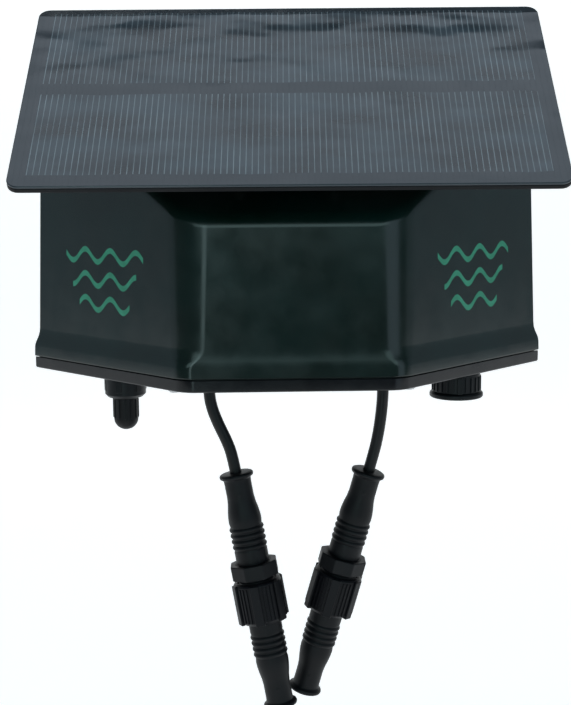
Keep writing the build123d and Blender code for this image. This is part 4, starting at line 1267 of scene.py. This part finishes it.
@dataclass
class Studio:
    """A pale sweep, soft boxes above and at both sides, and the camera."""

    target: Point = (-2.2, -54.0, -48.5)
    distance: float = 550.0
    pitch: float = 9.2
    azimuth: float = -1.6
    roll: float = -0.45
    lens: float = 72.35
    floor_drop: float = 55.0

    def build_camera(self) -> None:
        """A camera a little above the object and a little to its left."""
        down, turned = math.radians(self.pitch), math.radians(-self.azimuth)
        level = math.cos(down)
        forward = Vector((math.sin(turned) * level, math.cos(turned) * level, -math.sin(down)))
        eye = (Vector(self.target) - forward * self.distance) * MM
        camera = bpy.data.cameras.new("camera")
        camera.lens = self.lens
        camera.clip_start = 0.01
        made = add_object("camera", camera)
        facing = forward.to_track_quat("-Z", "Y").to_matrix().to_4x4()
        made.matrix_world = Matrix.Translation(eye) @ facing @ about_z(math.radians(self.roll))
        bpy.context.scene.camera = made

    def build_sweep(self, floor_z: float) -> None:
        """The pale floor that curves up into a backdrop.

        Args:
            floor_z: its height in metres.
        """
        bm = bmesh.new()
        near, far, half = -0.62, 1.1, 1.5
        plan = ((-half, near), (half, near), (half, far), (-half, far))
        face = bm.faces.new([bm.verts.new((x, y, floor_z)) for x, y in plan])
        back = next(e for e in face.edges if all(v.co.y > far - 0.01 for v in e.verts))
        raised = bmesh.ops.extrude_edge_only(bm, edges=[back])
        top = [g for g in raised["geom"] if isinstance(g, Vert)]
        bmesh.ops.translate(bm, vec=(0, 0.0, 1.2), verts=top)
        crease = [e for e in bm.edges if len(e.link_faces) == 2]
        bmesh.ops.bevel(
            bm, geom=crease, offset=0.45, offset_type="OFFSET", segments=16, profile=0.5, affect="EDGES",
            material=-1,
        )
        bmesh.ops.recalc_face_normals(bm, faces=bm.faces[:])
        mesh = bpy.data.meshes.new("sweep")
        bm.to_mesh(mesh)
        bm.free()
        mesh.shade_smooth()
        paper = bpy.data.materials.new("white_paper")
        paper.use_nodes = True
        shader = paper.node_tree.nodes["Principled BSDF"]
        shader.inputs["Base Color"].default_value = linear("#f4f4f2")
        shader.inputs["Roughness"].default_value = 0.9
        shader.inputs["Emission Color"].default_value = linear("#ffffff")
        shader.inputs["Emission Strength"].default_value = 0.6
        mesh.materials.append(paper)
        made = add_object("sweep", mesh)

    def soft_box(
        self, name: str, place: Point, aim: Point, size: tuple[float, float], power: float, colour: str
    ) -> None:
        """One rectangular area light.

        Args:
            name: its name.
            place: its centre in metres.
            aim: the point that it faces.
            size: its width and height in metres.
            power: watts.
            colour: its sRGB colour.
        """
        light = bpy.data.lights.new(name, "AREA")
        light.color = linear(colour)[:3]
        light.shape = "RECTANGLE"
        light.size, light.size_y = size
        light.energy = power
        made = add_object(name, light)
        made.location = place
        made.rotation_euler = (Vector(aim) - Vector(place)).to_track_quat("-Z", "Y").to_euler()

    def build_lights(self) -> None:
        """A broad box overhead, one at each side, three in front, and a dim even room."""
        middle = (0.0, -0.05, -0.02)
        cool = "#c9e2f2"
        self.soft_box("overhead_box", (0.0, 0.0, 0.95), middle, (1.3, 0.56), 3.5, "#dbe6f2")
        self.soft_box("left_box", (-1.1, -0.1, 0.0), middle, (0.8, 0.9), 0.8, cool)
        self.soft_box("right_box", (1.1, -0.1, 0.0), middle, (0.8, 0.9), 0.7, cool)
        self.soft_box("front_low_box", (0.0, -1.0, 0.21), middle, (1.2, 0.34), 2.3, "#bfe6e6")
        self.soft_box("front_left_box", (-0.21, -1.0, -0.1), middle, (0.18, 0.9), 1.1, "#c4e4e6")
        self.soft_box("front_right_box", (0.66, -0.8, -0.05), middle, (0.4, 0.9), 1.0, cool)
        world = bpy.data.worlds.new("room")
        world.use_nodes = True
        world.node_tree.nodes["Background"].inputs["Color"].default_value = linear("#9aa8b2")
        world.node_tree.nodes["Background"].inputs["Strength"].default_value = 0.3
        bpy.context.scene.world = world
        bpy.context.scene.view_settings.view_transform = "Standard"


# ---- everything in order


LEFT_ROUTE: tuple[Point, ...] = (
    (-31.8, -52.0, 4.0), (-31.8, -52.0, -2.5), (-30.6, -52.1, -8.3), (-28.2, -52.3, -14.3),
    (-25.3, -52.6, -20.3), (-23.1, -52.9, -26.4), (-21.0, -53.5, -38.2),
)
RIGHT_ROUTE: tuple[Point, ...] = (
    (34.6, -52.0, 4.0), (34.6, -52.0, -2.5), (34.2, -51.9, -8.5), (33.5, -51.7, -14.6),
    (32.5, -51.4, -20.7), (31.1, -51.1, -26.8), (27.8, -50.5, -38.6),
)


def build_leads() -> None:
    """Both leads, each with its connector."""
    sides = (
        ("left", LEFT_ROUTE, 44.0, Body.LEFT_PLUG, Body.LEFT_NUT),
        ("right", RIGHT_ROUTE, 43.4, Body.RIGHT_PLUG, Body.RIGHT_NUT),
    )
    for side, route, length, plug_body, nut_body in sides:
        lead = Lead(f"{side}_hanging_lead", route, length)
        pieces = Connector(side, lead.frame(), plug_body, nut_body).build()
        lead.build(side, pieces)


def main() -> None:
    """Builds the camera and the cords first, then everything else."""
    logging.basicConfig(level=logging.INFO, format="%(name)s %(message)s")
    studio = Studio()
    studio.build_camera()
    build_leads()
    Case().build()
    SolarPanel().build()
    ControlKnob().build()
    Outlet().build()
    parts = FrameParts()
    parts.dress()
    parts.soften_edges()
    studio.build_sweep(cad_box[0][2] - studio.floor_drop * MM)
    studio.build_lights()


if __name__ == "__main__":
    main()
